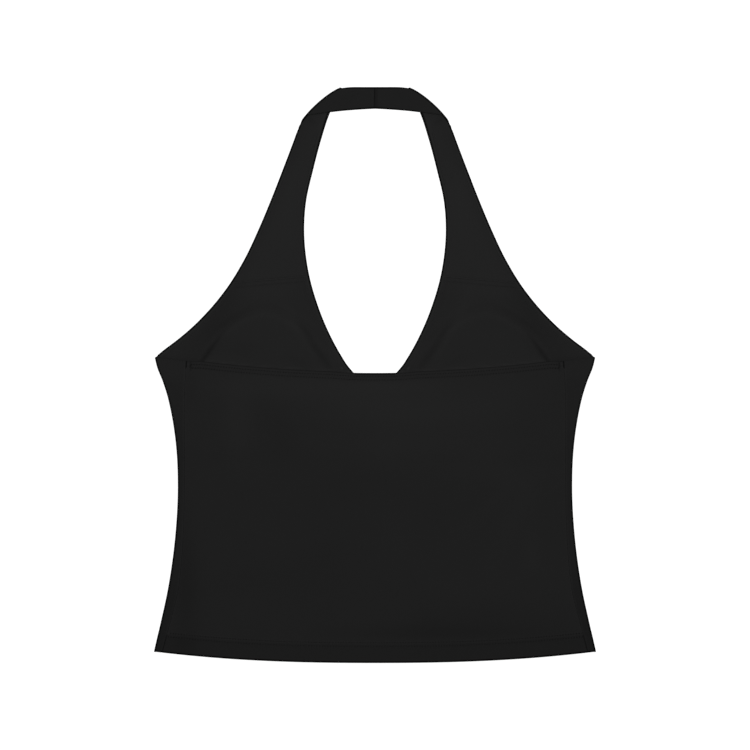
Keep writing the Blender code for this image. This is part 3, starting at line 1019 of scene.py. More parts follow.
def front_body(levels, middle):
    """Grid of the front's body on the floor, from the side fold to the middle or the V neck."""
    level = levels[:, None]
    radius = roll_radius(levels)
    lean = UNDERARM_LEAN * radius * underarm_lean(levels)
    outer = np.stack([radius - side(levels), levels + lean], axis=1)
    inner = np.stack([-neck(levels), levels], axis=1)
    inner_lean = np.where(levels > V_LEVEL, edge_lean(neck, inner, outer, inner), 1.0)
    x, y, from_turn, from_neck = across_rows(outer, inner, np.ones_like(levels), inner_lean, middle)
    y = y + hem_sag(x, level)
    hem = turned_hem(level - HEM_LEVEL, BOTTOM_HEM_DEPTH, BOTTOM_HEM_ROWS, 0.0, x, LOWER_GROOVE)
    sunk = np.minimum(hem, 0.0)
    at_neck = np.where(level > V_LEVEL, from_neck, FAR)
    shade = outline_shade(from_turn + radius[:, None], level - HEM_LEVEL, at_neck)
    return block(x, y, front_rise(x, y), sunk, CLOTH, shade)


def flap_tone_and_shading(level, from_seam):
    """Painted light and shade of the flap: darker as it lies along the garment, lighter beside its seam."""
    upper = FLAP_UPPER_SHARE + (1.0 - FLAP_UPPER_SHARE) * fall(level, *FLAP_UPPER_END)
    tone = FLAP_TONE * upper + FLAP_FOOT_TONE * fall(level, *FLAP_FOOT_END)
    tone = tone + FLAP_HEAD_TONE * fall(np.abs(level - FLAP_HEAD_LEVEL), *FLAP_HEAD_END)
    beside = FLAP_SEAM_TONE * fall(from_seam, *FLAP_SEAM_END) + lines(from_seam, FLAP_SEAM_LINES)
    return tone, beside


def not_on_outline(from_seam):
    """Most shade that a point may have, so that the points in a seam don't count as the outline."""
    return np.where(from_seam > 0.01, 1.0, OUTLINE_MARK - 0.1)


def front_flap(levels, steps, columns):
    """Grid of the side fold and of the flap that wraps round to the back seam."""
    level = levels[:, None]
    radius = roll_radius(level)
    turn_x = side(level) - radius
    angle = np.linspace(0.0, math.pi, steps + 1)[None]
    roll_x = turn_x + radius * np.sin(angle)
    roll_z = radius * (1 - np.cos(angle))
    edge_level = level - FLAP_DROP * underarm_lean(level)
    edge_x = seam(edge_level) + SEAM_GAP / 2
    beside = edge_x + np.array(SEAM_PLACES)[None, ::-1]
    flap_x = mix(turn_x, beside[:, :1], np.linspace(0.0, 1.0, columns)[None, 1:])
    flap_x = np.concatenate([flap_x, beside[:, 1:]], axis=1)
    flap_z = mix(2 * radius, back_height(edge_x, edge_level), (turn_x - flap_x) / (turn_x - edge_x))
    inset = side(level) - roll_x
    drop = FLAP_DROP / (side(level) - seam(level))
    roll_lean = np.where(angle < math.pi / 2, UNDERARM_LEAN * inset * np.cos(angle), -drop * inset)
    flap_lean = -drop * (side(level) - flap_x)
    x = np.concatenate([roll_x, flap_x], axis=1)
    z = np.concatenate([roll_z, flap_z], axis=1)
    lean = np.concatenate([roll_lean, flap_lean], axis=1) * underarm_lean(level)
    y = level + hem_sag(x, level) + lean
    turned = turn_x + radius * math.pi
    grain_x = np.concatenate([turn_x + radius * angle, turned + turn_x - flap_x], axis=1)
    on_flap = np.concatenate([np.zeros_like(roll_x), np.ones_like(flap_x)], axis=1)
    above = np.concatenate([(1 - np.cos(angle)) / 2 + np.zeros_like(roll_x), np.ones_like(flap_x)], axis=1)
    bulge = np.concatenate([np.sin(angle), np.zeros_like(flap_x[:1])], axis=1)
    hem = turned_hem(level - HEM_LEVEL, BOTTOM_HEM_DEPTH, BOTTOM_HEM_ROWS, FLAP_HEM_RAISE, x)
    from_seam = x - edge_x
    ridge = SEAM_RIDGE * bump(from_seam, SEAM_RIDGE_PLACE, SEAM_RIDGE_WIDTH)
    relief = np.minimum(hem, 0.0) + np.maximum(hem, 0.0) * above + ridge * on_flap
    relief = relief - FLAP_TUCK * fall(UNDERARM_LEVEL - level, 0.0, FLAP_TUCK_LENGTH) * on_flap
    relief = relief + OUTLINE_FULLNESS * bulge
    shade = outline_shade(side(level) - x, level - HEM_LEVEL)
    shade = np.minimum(shade, not_on_outline(from_seam))
    shade = np.maximum(shade, seam_shade(from_seam, edge_level) * on_flap)
    tone, beside_seam = flap_tone_and_shading(level, from_seam)
    tone = tone * above + beside_seam * on_flap
    return block(-x, y, z, relief, CLOTH, shade, tone, (-grain_x, level))


def hem_band(level):
    """One on the darker part of the bottom hem, below its upper stitch row, and nought above it."""
    between = (BOTTOM_HEM_ROWS[0] + BOTTOM_HEM_ROWS[1]) / 2
    return fall(level - HEM_LEVEL, between - 0.5, between + 0.5)


def seam_shade(from_seam, level):
    """Shade in the side seam, strongest where its end is tacked beside the top hem."""
    tacked = 1.0 - fall(level, BACK_TOP_SIDE - SEAM_TACK, BACK_TOP_SIDE - SEAM_TACK + 0.8)
    return np.maximum(TACK_SHADE * tacked, HEM_SEAM_SHADE * hem_band(level)) * fall(from_seam, 0.2, 1.0)


def strap_rows(sizes):
    """Levels of the strap's straight rows, and shares of its rows that fan out to the fold."""
    spots = [UNDERARM_LEVEL, LINING_TOP_SIDE, LINING_TOP_NECK]
    straight = graded(UNDERARM_LEVEL, FAN_LEVEL, spots, STRAP_STEP, sizes.coarse_step / MM)
    fan = np.linspace(0.0, 1.0, FAN_ROWS)[1:]
    return straight, fan


def front_strap(sizes, middle):
    """Grid of the bust and strap of the front, from the underarm to the shoulder fold."""
    straight, fan = strap_rows(sizes)
    radius = roll_radius(UNDERARM_LEVEL)
    lean = UNDERARM_LEAN * radius * fall(straight, UNDERARM_LEVEL, UNDERARM_LEVEL + 2 * UNDERARM_FADE)
    arm_level = straight + lean
    arm_x = armhole(arm_level)
    arm_x[0] = side(UNDERARM_LEVEL) - radius
    run, out = fold_frame()
    ends = FOLD_FOOT + run * np.array((FOOT_START, 1.0))[:, None] - out * FOLD_HEIGHT / 2
    foot_level = mix(FAN_LEVEL, ends[0, 1], fan)
    head_level = mix(FAN_LEVEL, ends[1, 1], fan)
    outer_x = np.concatenate([-arm_x, -armhole(foot_level)])
    inner_x = np.concatenate([-neck(straight), -neck(head_level)])
    outer = np.stack([outer_x, np.concatenate([arm_level, foot_level])], axis=1)
    inner = np.stack([inner_x, np.concatenate([straight, head_level])], axis=1)
    outer[-1], inner[-1] = ends
    squared = fall(outer[:, 1] - UNDERARM_LEVEL, *ARMHOLE_SQUARED)
    outer_lean = mix(edge_lean(armhole, outer, outer, inner), 1.0, squared)
    inner_lean = edge_lean(neck, inner, outer, inner)
    x, y, from_arm, from_neck = across_rows(outer, inner, outer_lean, inner_lean, middle)
    width = np.linalg.norm(inner - outer, axis=1)[:, None]
    share = from_arm / outer_lean[:, None] / width
    fanned = np.concatenate([np.zeros_like(straight), fan])[:, None]
    bow = fold_bow(fold_shares(0.0, share)) * fanned
    x, y = x + out[0] * bow, y + out[1] * bow
    above_lining = 1.0 - fall(y - LINING_TOP_NECK, *STRAP_BORDER_START)
    below_fold = 1.0 - fanned ** 4
    borders, bands, rows = 0.0, 0.0, 0.0
    edges = ((from_arm, ARMHOLE_BORDER, ARMHOLE_ROW), (from_neck, NECK_BORDER, NECK_ROW))
    for distance, border, row in edges:
        borders = borders + border_relief(distance, border, row)
        bands = bands + fall(distance - border, *BAND_SLOPE)
        rows = rows + bump(distance, row, BORDER_ROW_WIDTH)
    wall = CLOTH + borders * above_lining * below_fold + creases(x, y, STRAP_CREASES)
    # Painted light on the raised borders, painted shade along their stitch rows and beside the armhole, and
    # the strap's own table of painted light and shade
    tone = (BORDER_TONE * bands + BORDER_ROW_TONE * rows) * above_lining * below_fold
    tone = tone + creases(x, y, STRAP_LIGHT_AND_SHADE) + STRAP_ARM_TONE * fall(from_arm, *STRAP_ARM_END)
    grooves = -BORDER_GROOVE * rows * below_fold
    return block(x, y, 0.0, grooves, wall, outline_shade(from_arm, from_neck), tone)


def band_shares(fold_share, past_fold, width, middle):
    """Places of the columns across the neckband, which leave the fold's spacing for its own."""
    places = np.array(BORDER_PLACES)
    between = np.linspace(places[-1], width - places[-1], middle + 2)[1:-1]
    own = np.concatenate([places, between, width - places[::-1]]) / width
    return mix(fold_share, own[None], 1.0 - fall(past_fold, 0.0, 0.5))


def band_edges(along):
    """Foot and head of the neckband, from the shoulder roll to the centre-back seam."""
    ends = fold_line(fold_shares(1.0, np.array((0.0, 1.0))))
    foot_x, head_x = (mix(end_x, 0.0, along) for end_x in ends[:, 0])

    def foot_line(x):
        return BAND_FOOT - BAND_FOOT_TILT * np.abs(x) - BAND_FOOT_BOW * x ** 2

    def head_line(x):
        return BAND_TOP - BAND_TOP_DROP * (np.abs(x) / BAND_TOP_REACH) ** BAND_TOP_CURVE

    foot_y = foot_line(foot_x) + (ends[0, 1] - foot_line(ends[0, 0])) * fall(along, 0.0, 0.3)
    head_y = head_line(head_x) + (ends[1, 1] - head_line(ends[1, 0])) * fall(along, 0.0, 0.3)
    return np.stack([foot_x, foot_y], axis=-1), np.stack([head_x, head_y], axis=-1)


def neckband(roll_steps, middle):
    """Grid of the shoulder roll and of the neck strap from it to the centre-back seam."""
    _, out = fold_frame()
    radius = FOLD_HEIGHT / 2
    both_ends = np.array((0.0, 1.0))
    start, ends = fold_line(fold_shares(0.0, both_ends)), fold_line(fold_shares(1.0, both_ends))
    arm_end, neck_end = start[:1], start[1:]
    arm_lean = edge_lean(armhole, arm_end, arm_end, neck_end)
    neck_lean = edge_lean(neck, neck_end, arm_end, neck_end)
    _, _, from_arm, _ = across_rows(arm_end, neck_end, arm_lean, neck_lean, middle)
    share = from_arm / arm_lean[:, None] / np.linalg.norm(start[1] - start[0])
    turn = np.linspace(0.0, 1.0, roll_steps + 1)[:, None]
    roll = fold_line(fold_shares(turn, share)) + out * (radius * np.sin(math.pi * turn))[..., None]
    roll_z = radius * (1 - np.cos(math.pi * turn)) + np.zeros_like(share)
    foot, head = band_edges(both_ends)
    span = -head[0, 0]
    along = (graded(0.0, span, [0.0, span], 0.5, 1.5) / span)[1:, None]
    foot, head = band_edges(along)
    across = band_shares(share, along, BAND_TOP - BAND_FOOT, middle)
    band = foot + (head - foot) * across[..., None]
    bowed = fold_line(fold_shares(1.0, share)) - (ends[0] + (ends[1] - ends[0]) * share[..., None])
    band = band + bowed * fall(along, 0.0, 0.45)[..., None]
    past_strap = band[..., 0] - STRAP_END_X - (band[..., 1] - STRAP_END_LEVEL) * STRAP_END_LEAN
    band_z = CLOTH + (FOLD_HEIGHT - CLOTH) * fall(past_strap, 0.0, BAND_SAG_LENGTH)
    x = np.concatenate([roll[..., 0], band[..., 0]])
    y = np.concatenate([roll[..., 1], band[..., 1]])
    z = np.concatenate([roll_z, band_z])
    lengths = np.concatenate([np.full_like(turn, np.linalg.norm(ends[1] - ends[0])),
                              np.linalg.norm(head - foot, axis=-1)])
    on_roll, on_band = np.zeros_like(roll_z), np.zeros_like(band_z)
    turned = on_roll + turn
    shares = np.concatenate([on_roll + share, across])
    from_foot, from_head = shares * lengths, (1 - shares) * lengths
    beside = np.concatenate([fall(turned, 0.5, 1.0), 1.0 - fall(past_strap, -3.0, 1.0)])
    roll_edge = np.concatenate([radius * (1.0 - np.sin(math.pi * turned)), on_band + FAR])
    shade = outline_shade(from_foot) * mix(BAND_ON_STRAP, 1.0, beside)
    shade = np.maximum(shade, outline_shade(from_head, roll_edge))
    crossed = np.concatenate([on_roll, on_band + 1.0])
    at_seam = np.concatenate([on_roll + FAR, np.abs(band[..., 0])])
    relief = BAND_SEAM_RIDGE * bump(at_seam, 1.8, 0.8) - BAND_SEAM_DIP * bump(at_seam, 0.0, 0.6)
    relief = relief + OUTLINE_FULLNESS * np.concatenate([np.sin(math.pi * turned), on_band])
    relief = relief + creases(x, y, BAND_CREASES) * crossed
    unfold = (np.stack([x, y], -1) - FOLD_FOOT) @ out
    grain = (x - 2 * crossed * unfold * out[0], y - 2 * crossed * unfold * out[1])
    at_foot = np.concatenate([turned, on_band + fall(along, 0.0, 0.15)])
    wall = CLOTH - FOOT_THINNED * at_foot * fall(shares, 0.0, 0.35)
    return block(x, y, z, relief, wall, shade, grain=grain)


def mark_centre_seam(grid):
    """Shade the centre-back seam: a dark line, and to its right the allowance under the cloth."""
    x = grid["points"][..., 0]
    line = CENTRE_SEAM_SHADE * bump(x, -0.4, 0.42)
    allowance = ALLOWANCE_SHADE * fall(np.abs(x - 1.0), 0.9, 2.0)
    grid["shade"] = np.maximum(grid["shade"], np.maximum(line, allowance))
    # Painted shade over the whole band, and a painted highlight on the ridge left of the seam
    grid["tone"] = BAND_TONE + CENTRE_SEAM_TONE * bump(x, -1.5, 0.5)


def build_front(sizes):
    """Front: body, flaps, straps and neckband in one."""
    levels = body_levels(sizes)
    middle = sizes.front_columns
    grids = [
        front_body(levels, middle),
        front_flap(levels, SIDE_ROLL_STEPS, FLAP_COLUMNS),
        front_strap(sizes, middle),
        neckband(SHOULDER_ROLL_STEPS, middle),
    ]
    others = [mirrored(grid) for grid in grids]
    mark_centre_seam(grids[-1])
    mark_centre_seam(others[-1])
    surface = outer_surface("front_surface", grids + others, False)
    return thicken("front_cloth", surface, sizes.edge_round / MM, sizes.rim_rings)


def hem_pits(x, distance, rows, reaches, pitch):
    """Where the stitches of a hem's rows pull the cloth in, from nought to one."""
    holes = 0.0
    for number, (row, reach) in enumerate(zip(rows, reaches)):
        inside = fall(np.abs(x) - reach, 0.5, 1.5)
        holes = holes + inside * pits(x, reach, pitch, row_phase(number)) * bump(distance, row, PIT_WIDTH)
    return holes


def row_phase(number):
    """Share of a stitch by which each row of a twin-stitched hem starts later than the one before."""
    return 0.5 + 0.5 * number


def bottom_row_reach(row):
    """How far out a stitch row of the bottom hem runs on the back panel."""
    return seam(HEM_LEVEL + row) - SEAM_CLEAR


def back_shade(x, y, level, from_seam, holes):
    """Shade of the back panel: its edges, needle holes, the ends of its top rows, tacks and seams."""
    above_hem, below_top = level - HEM_LEVEL, BACK_TOP_SIDE - level
    over_hole = np.where(np.abs(x) < neck(y), below_top, FAR)
    outward = np.minimum(np.abs(x) / TOP_HEM_END, 1.0)
    pit_shade = PIT_SHADE * holes * mix(PIT_SHADE_MIDDLE, 1.0, outward ** 2)
    row_ends = sum(bump(below_top, row, 0.5) for row in TOP_HEM_ROWS) * outward ** 16
    row_ends = row_ends * (np.abs(x) < TOP_HEM_END)
    beside_tack = bump(np.abs(x), BARTACK_X, 0.8) * bump(level, (BARTACK_TOP + BARTACK_FOOT) / 2, 3.0)
    shade = np.minimum(outline_shade(above_hem, over_hole), not_on_outline(from_seam))
    for other in (TOP_EDGE_SHADE * fall(below_top, 0.3, 1.1), pit_shade, ROW_END_SHADE * row_ends,
                  TACK_SHADE * beside_tack, seam_shade(from_seam, level)):
        shade = np.maximum(shade, other)
    return shade


def back_tone_and_shading(x, y, level, from_seam, holes):
    """Painted light and shade of the back: soft places, light beside seams, hems and highlights on rows."""
    above_hem, below_top = level - HEM_LEVEL, BACK_TOP_SIDE - level
    tone = creases(x, y, BACK_LIGHT_AND_SHADE) + HEM_TONE * hem_band(level)
    tone = tone + BACK_SEAM_TONE * fall(from_seam, 0.0, 0.9) * (1.0 - hem_band(level))
    rows = sum(bump(above_hem, row, 0.6) for row in BOTTOM_HEM_ROWS)
    rows = rows + sum(bump(below_top, row, 0.6) for row in TOP_HEM_ROWS)
    tone = tone + ROW_TONE * rows * (1.0 - holes)
    return tone + lines(below_top, BACK_TOP_LINES) + TOP_BAND_TONE * hem_step(below_top, TOP_HEM_DEPTH)


def back_block(levels, share, pitch):
    """Some rows of the back panel, whose columns stand at shares of its half width."""
    level = levels[:, None]
    half = seam(level) - SEAM_GAP / 2
    x = share[None] * half
    y = back_y(x, level)
    from_seam = half - np.abs(x)
    above_hem, below_top = level - HEM_LEVEL, BACK_TOP_SIDE - level
    relief = turned_hem(above_hem, BOTTOM_HEM_DEPTH, BOTTOM_HEM_ROWS, HEM_RAISE, x)
    relief = relief + turned_hem(below_top, TOP_HEM_DEPTH, TOP_HEM_ROWS, HEM_RAISE, x + TOP_PUCKER_SHIFT)
    relief = relief + creases(x, y, BACK_PUCKERS)
    reaches = [bottom_row_reach(row) for row in BOTTOM_HEM_ROWS]
    holes = hem_pits(x, above_hem, BOTTOM_HEM_ROWS, reaches, pitch)
    holes = holes + hem_pits(x, below_top, TOP_HEM_ROWS, (TOP_HEM_END, TOP_HEM_END), pitch)
    relief = relief - PIT_DEPTH * holes
    holes = np.minimum(holes, 1.0)
    shade = back_shade(x, y, level, from_seam, holes)
    tone = back_tone_and_shading(x, y, level, from_seam, holes)
    return block(x, y, back_height(x, y), relief, CLOTH, shade, tone)


def build_back(sizes):
    """Back panel from its bottom hem to its top hem, with finer columns along both hems."""
    fine, coarse, pitch = sizes.fine_step / MM, sizes.coarse_step / MM, sizes.stitch_pitch / MM
    low = HEM_LEVEL + BOTTOM_HEM_DEPTH + HEM_BEYOND
    high = BACK_TOP_SIDE - TOP_HEM_DEPTH - HEM_BEYOND
    stitched = [HEM_LEVEL + row for row in BOTTOM_HEM_ROWS]
    bottom = graded(HEM_LEVEL + EDGE_STEP, low, [HEM_LEVEL + 1.0, *stitched], fine, coarse)
    stitched = [BACK_TOP_SIDE - row for row in TOP_HEM_ROWS]
    top = graded(high, BACK_TOP_SIDE - EDGE_STEP, [BACK_TOP_SIDE - 1.0, *stitched], fine, coarse)
    bottom, top = np.concatenate([[HEM_LEVEL], bottom]), np.concatenate([top, [BACK_TOP_SIDE]])
    middle = graded(low, high, [low, high], CLOSE_STEP, coarse)[1:-1]
    half = seam(HEM_LEVEL)
    places = graded(0.0, half, [half], EDGE_STEP, coarse, COLUMN_GROWTH)
    share = np.concatenate([-places[:0:-1], places]) / half
    steps = np.arange(SPLIT * (len(share) - 1) + 1) / SPLIT
    fine_share = np.interp(steps, np.arange(len(share)), share)
    grids = [back_block(bottom, fine_share, pitch), back_block(middle, share, pitch),
             back_block(top, fine_share, pitch)]
    below, open_cloth, above = numbers(grids)
    strips = [splice(open_cloth[0], below[-1]), splice(open_cloth[-1], above[0])]
    surface = outer_surface("back_surface", grids, True, strips)
    return thicken("back_cloth", surface, sizes.edge_round / MM, sizes.rim_rings)


def lining_rows():
    """Ends of the lining's rows at its outer and its inner edge."""
    spots = [LINING_TOP_NECK - row for row in STRAP_SEAM_ROWS] + [LINING_TOP_NECK]
    hidden = graded(LINING_FOOT, V_LEVEL, [LINING_FOOT, V_LEVEL], *LINING_HIDDEN_STEPS)
    shown = graded(V_LEVEL, LINING_TOP_NECK, spots, LINING_STEP, LINING_OPEN_STEP)
    inner_level = np.concatenate([hidden, shown[1:]])
    climb = (inner_level - LINING_FOOT) / (LINING_TOP_NECK - LINING_FOOT)
    outer_level = inner_level - (LINING_TOP_NECK - LINING_TOP_SIDE) * climb ** 3
    low = side(np.minimum(outer_level, UNDERARM_LEVEL)) - LINING_SIDE_INSET
    high = armhole(np.maximum(outer_level, ARMHOLE["level"][0])) - LINING_EDGE_INSET
    turn = 1.0 - fall(outer_level - UNDERARM_LEVEL, *LINING_ARM_TURN)
    outer_x = np.minimum(mix(low, high, turn), high)
    inner_x = np.where(inner_level > V_LEVEL, neck(inner_level) + LINING_EDGE_INSET, 0.0)
    return np.stack([-outer_x, outer_level], axis=1), np.stack([-inner_x, inner_level], axis=1)


def lining_half(sizes, hand):
    """Grid of one half of the lining, from the armhole to the middle or the V neck."""
    outer, inner = lining_rows()
    on_arm, on_neck = outer[:, 1] > UNDERARM_LEVEL, inner[:, 1] > V_LEVEL
    outer_lean = np.where(on_arm, edge_lean(armhole, outer, outer, inner), 1.0)
    inner_lean = np.where(on_neck, edge_lean(neck, inner, outer, inner), 1.0)
    x, y, from_arm, from_neck = across_rows(outer, inner, outer_lean, inner_lean, sizes.lining_columns)
    on_arm, on_neck = on_arm[:, None], on_neck[:, None]
    signed = x * -hand
    top_line = mix(outer[-1, 1], inner[-1, 1], (x - x[-1, 0]) / (x[-1, -1] - x[-1, 0]))
    below_top = top_line - y
    inset = LINING_EDGE_INSET
    borders = border_relief(from_arm, ARMHOLE_BORDER - inset, ARMHOLE_ROW - inset) * on_arm
    borders = borders + border_relief(from_neck, NECK_BORDER - inset, NECK_ROW - inset) * on_neck
    relief = borders * (1.0 - fall(y - BACK_TOP_CENTRE, 0.0, BORDER_FADE))
    relief = relief + creases(signed, y, LINING_CREASES)
    relief = relief - LINING_TUCK * fall(below_top, 0.0, LINING_TUCK_LENGTH)
    # Painted light and shade of the lining: its table of places, lines along its top, the cups' rims, its
    # borders, the light line above the back's top edge, and the darker armhole side
    tone = creases(signed, y, LINING_LIGHT_AND_SHADE) + lines(below_top, LINING_TOP_LINES)
    tone = tone + lines(pad_reach(x, y), CUP_RIM_LINES) * (1.0 - fall(y, *CUP_RIM_FOOT))
    tone = tone + lines(from_neck, LINING_NECK_LINES) * on_neck
    tone = tone + lines(from_neck, LINING_NECK_UPPER_LINES) * (1.0 - fall(y, *NECK_LINE_FOOT))
    tone = tone + lines(from_arm, LINING_ARM_LINES) * on_arm + BORDER_TONE * borders / BORDER_RAISE
    tone = tone + LINING_ARM_TONE * fall(from_arm, *LINING_ARM_END) * (1.0 - fall(y, *LINING_ARM_TOP))
    above_back = y - back_y(x, BACK_TOP_SIDE)
    tone = tone + lines(above_back, ABOVE_BACK_LINES) * fall(np.abs(x), *ABOVE_BACK_END)
    at_arm = np.where(on_arm, from_arm + LINING_ARM_SHADE, FAR)
    at_neck = np.where(on_neck, from_neck + LINING_EDGE_INSET, FAR)
    shade = np.minimum(outline_shade(at_arm, at_neck), OUTLINE_MARK - 0.05)
    return block(signed, y, lining_top(x, y), relief, LINING, shade, tone)


def build_lining(sizes):
    """Bust lining over the cups."""
    grids = [lining_half(sizes, -1), lining_half(sizes, 1)]
    surface = outer_surface("lining_surface", grids, True)
    return thicken("lining_cloth", surface, LINING_ROUND, sizes.rim_rings)


def build_pad(name, hand):
    """Moulded cup pad: flat where it lies on the front, domed above, with a rolled rim."""
    pad = bmesh.new()
    bmesh.ops.create_uvsphere(pad, u_segments=PAD_SEGMENTS, v_segments=PAD_RINGS, radius=1.0)
    floor = CLOTH + GAP
    for point in pad.verts:
        turn = math.atan2(point.co.y, point.co.x)
        reach = min(math.hypot(point.co.x, point.co.y), 1.0)
        rounding = min(abs(point.co.z) / PAD_EDGE, 1.0)
        height = PAD_RIM / 2 * (1 + math.copysign(math.sin(rounding * math.pi / 2), point.co.z))
        if point.co.z > 0:
            height += float(dome(reach))
        across, up = math.cos(turn), math.sin(turn)
        power = PAD_POINT if up > 0 else PAD_ROUND
        scale = reach / (abs(across) ** power + abs(up) ** power) ** (1 / power)
        rise = PAD_RISE if up > 0 else PAD_DROP
        x = hand * PAD_X + across * scale * PAD_HALF_WIDTH
        point.co = Vector((x, PAD_Y + up * scale * rise, floor + height)) * MM
    mesh = bpy.data.meshes.new(name)
    pad.to_mesh(mesh)
    pad.free()
    points = read_points(mesh)
    set_grain(mesh, points[:, 0], points[:, 1])
    mesh.shade_smooth()
    return mesh


def new_node(tree, kind, **settings):
    """A node of a kind with some of its settings."""
    node = tree.nodes.new(kind)
    for name, value in settings.items():
        setattr(node, name, value)
    return node


def wire(tree, source, target):
    """Link a socket to a target, or set the target to a plain value."""
    if isinstance(source, bpy.types.NodeSocket):
        tree.links.new(source, target)
    else:
        target.default_value = source


def maths(tree, operation, first, second=0.0):
    """Result of an operation on two sockets or numbers."""
    node = new_node(tree, "ShaderNodeMath", operation=operation)
    wire(tree, first, node.inputs[0])
    wire(tree, second, node.inputs[1])
    return node.outputs[0]


def noise(tree, place, scale, detail):
    """Noise between nought and one that changes so many times a metre."""
    node = new_node(tree, "ShaderNodeTexNoise")
    wire(tree, place, node.inputs["Vector"])
    node.inputs["Scale"].default_value = scale
    node.inputs["Detail"].default_value = detail
    return node.outputs["Fac"]


def new_group(name, inputs, outputs):
    """A shader node group with named sockets, and its two end nodes."""
    tree = bpy.data.node_groups.new(name, "ShaderNodeTree")
    for socket, kind, default in inputs:
        made = tree.interface.new_socket(socket, in_out="INPUT", socket_type=f"NodeSocket{kind}")
        if default is not None:
            made.default_value = default
    for socket, kind in outputs:
        tree.interface.new_socket(socket, in_out="OUTPUT", socket_type=f"NodeSocket{kind}")
    return tree, new_node(tree, "NodeGroupInput").outputs, new_node(tree, "NodeGroupOutput").inputs


def jersey_group():
    """Knit loops: columns of small V shapes, as a height and as a mask of the gutters between."""
    tree, given, result = new_group(
        "Jersey loops",
        [("Place", "Vector", None), ("Wale", "Float", OUTER_WALE), ("Course", "Float", COURSE),
         ("Wander", "Float", 0.25)],
        [("Height", "Float"), ("Gutter", "Float")])
    split = new_node(tree, "ShaderNodeSeparateXYZ")
    wire(tree, given["Place"], split.inputs[0])
    sway = maths(tree, "SUBTRACT", noise(tree, given["Place"], LOOP_SWAY, 1.0), 0.5)
    sway = maths(tree, "MULTIPLY", sway, given["Wander"])
    wale = maths(tree, "ADD", maths(tree, "DIVIDE", split.outputs["X"], given["Wale"]), sway)
    course = maths(tree, "ADD", maths(tree, "DIVIDE", split.outputs["Y"], given["Course"]), sway)
    side_share = maths(tree, "ABSOLUTE", maths(tree, "SUBTRACT", maths(tree, "FRACT", wale), 0.5))
    slanted = maths(tree, "ADD", course, maths(tree, "MULTIPLY", side_share, LOOP_SLANT))
    yarn = maths(tree, "SINE", maths(tree, "MULTIPLY", slanted, 2 * math.pi))
    gutter = maths(tree, "POWER", maths(tree, "MULTIPLY", side_share, 2.0), GUTTER_SHARPNESS)
    height = maths(tree, "SUBTRACT", maths(tree, "MULTIPLY", yarn, YARN_HEIGHT), gutter)
    wire(tree, height, result["Height"])
    wire(tree, gutter, result["Gutter"])
    return tree


def dye_and_shade_group():
    """Dyed cloth, unevenly deep, with painted light and shade in places, edges, seams, holes and gutters."""
    tree, given, result = new_group(
        "Dye and painted shade",
        [("Place", "Vector", None), ("Colour", "Color", (0.01, 0.01, 0.01, 1.0)), ("Edge", "Float", 0.0),
         ("Gutter", "Float", 0.0), ("Tone", "Float", 0.0), ("Edge dark", "Float", 0.8),
         ("Mottle", "Float", 0.2)],
        [("Colour", "Color"), ("Roughness", "Float")])
    broad = maths(tree, "SUBTRACT", noise(tree, given["Place"], DYE_PATCHES, 2.0), 0.5)
    fibre = maths(tree, "SUBTRACT", noise(tree, given["Place"], DYE_FIBRES, 2.0), 0.5)
    uneven = maths(tree, "ADD", broad, maths(tree, "MULTIPLY", fibre, 0.8))
    bright = maths(tree, "ADD", maths(tree, "MULTIPLY", uneven, given["Mottle"]), 1.0)
    # Painted shade in the knit's gutters and in turned edges, seams and needle holes, then the lighter and
    # darker painted places
    gutter_shade = maths(tree, "SUBTRACT", 1.0, maths(tree, "MULTIPLY", given["Gutter"], GUTTER_SHADE))
    dark = maths(tree, "SUBTRACT", 1.0, maths(tree, "MULTIPLY", given["Edge"], given["Edge dark"]))
    for factor in (gutter_shade, dark, maths(tree, "ADD", given["Tone"], 1.0)):
        bright = maths(tree, "MULTIPLY", bright, factor)
    tint = new_node(tree, "ShaderNodeVectorMath", operation="SCALE")
    wire(tree, given["Colour"], tint.inputs[0])
    wire(tree, bright, tint.inputs["Scale"])
    wire(tree, tint.outputs[0], result["Colour"])
    rough = maths(tree, "ADD", maths(tree, "MULTIPLY", broad, 0.12), 0.88)
    wire(tree, rough, result["Roughness"])
    return tree


def twist_group():
    """Twisted yarn: slanting ridges, and a mask of a thread's ends, painted in shade where they dive in."""
    tree, given, result = new_group(
        "Thread twist",
        [("Place", "Vector", None), ("Turns", "Float", 3.0)],
        [("Height", "Float"), ("Ends", "Float")])
    split = new_node(tree, "ShaderNodeSeparateXYZ")
    wire(tree, given["Place"], split.inputs[0])
    turn = maths(tree, "ADD", maths(tree, "MULTIPLY", split.outputs["X"], given["Turns"]), split.outputs["Y"])
    wire(tree, maths(tree, "SINE", maths(tree, "MULTIPLY", turn, 2 * math.pi)), result["Height"])
    from_middle = maths(tree, "ABSOLUTE", maths(tree, "SUBTRACT", split.outputs["X"], 0.5))
    wire(tree, maths(tree, "POWER", maths(tree, "MULTIPLY", from_middle, 2.0), 4.0), result["Ends"])
    return tree


def shared_group(name):
    """One of the shared node groups, built the first time that it is asked for."""
    makers = {"Jersey loops": jersey_group, "Dye and painted shade": dye_and_shade_group, "Thread twist": twist_group}
    return bpy.data.node_groups.get(name) or makers[name]()


def use_group(tree, name, **values):
    """Place a shared group in a material with its own values, and give its outputs."""
    node = new_node(tree, "ShaderNodeGroup", node_tree=shared_group(name))
    for socket, value in values.items():
        wire(tree, value, node.inputs[socket.replace("_", " ")])
    return node.outputs


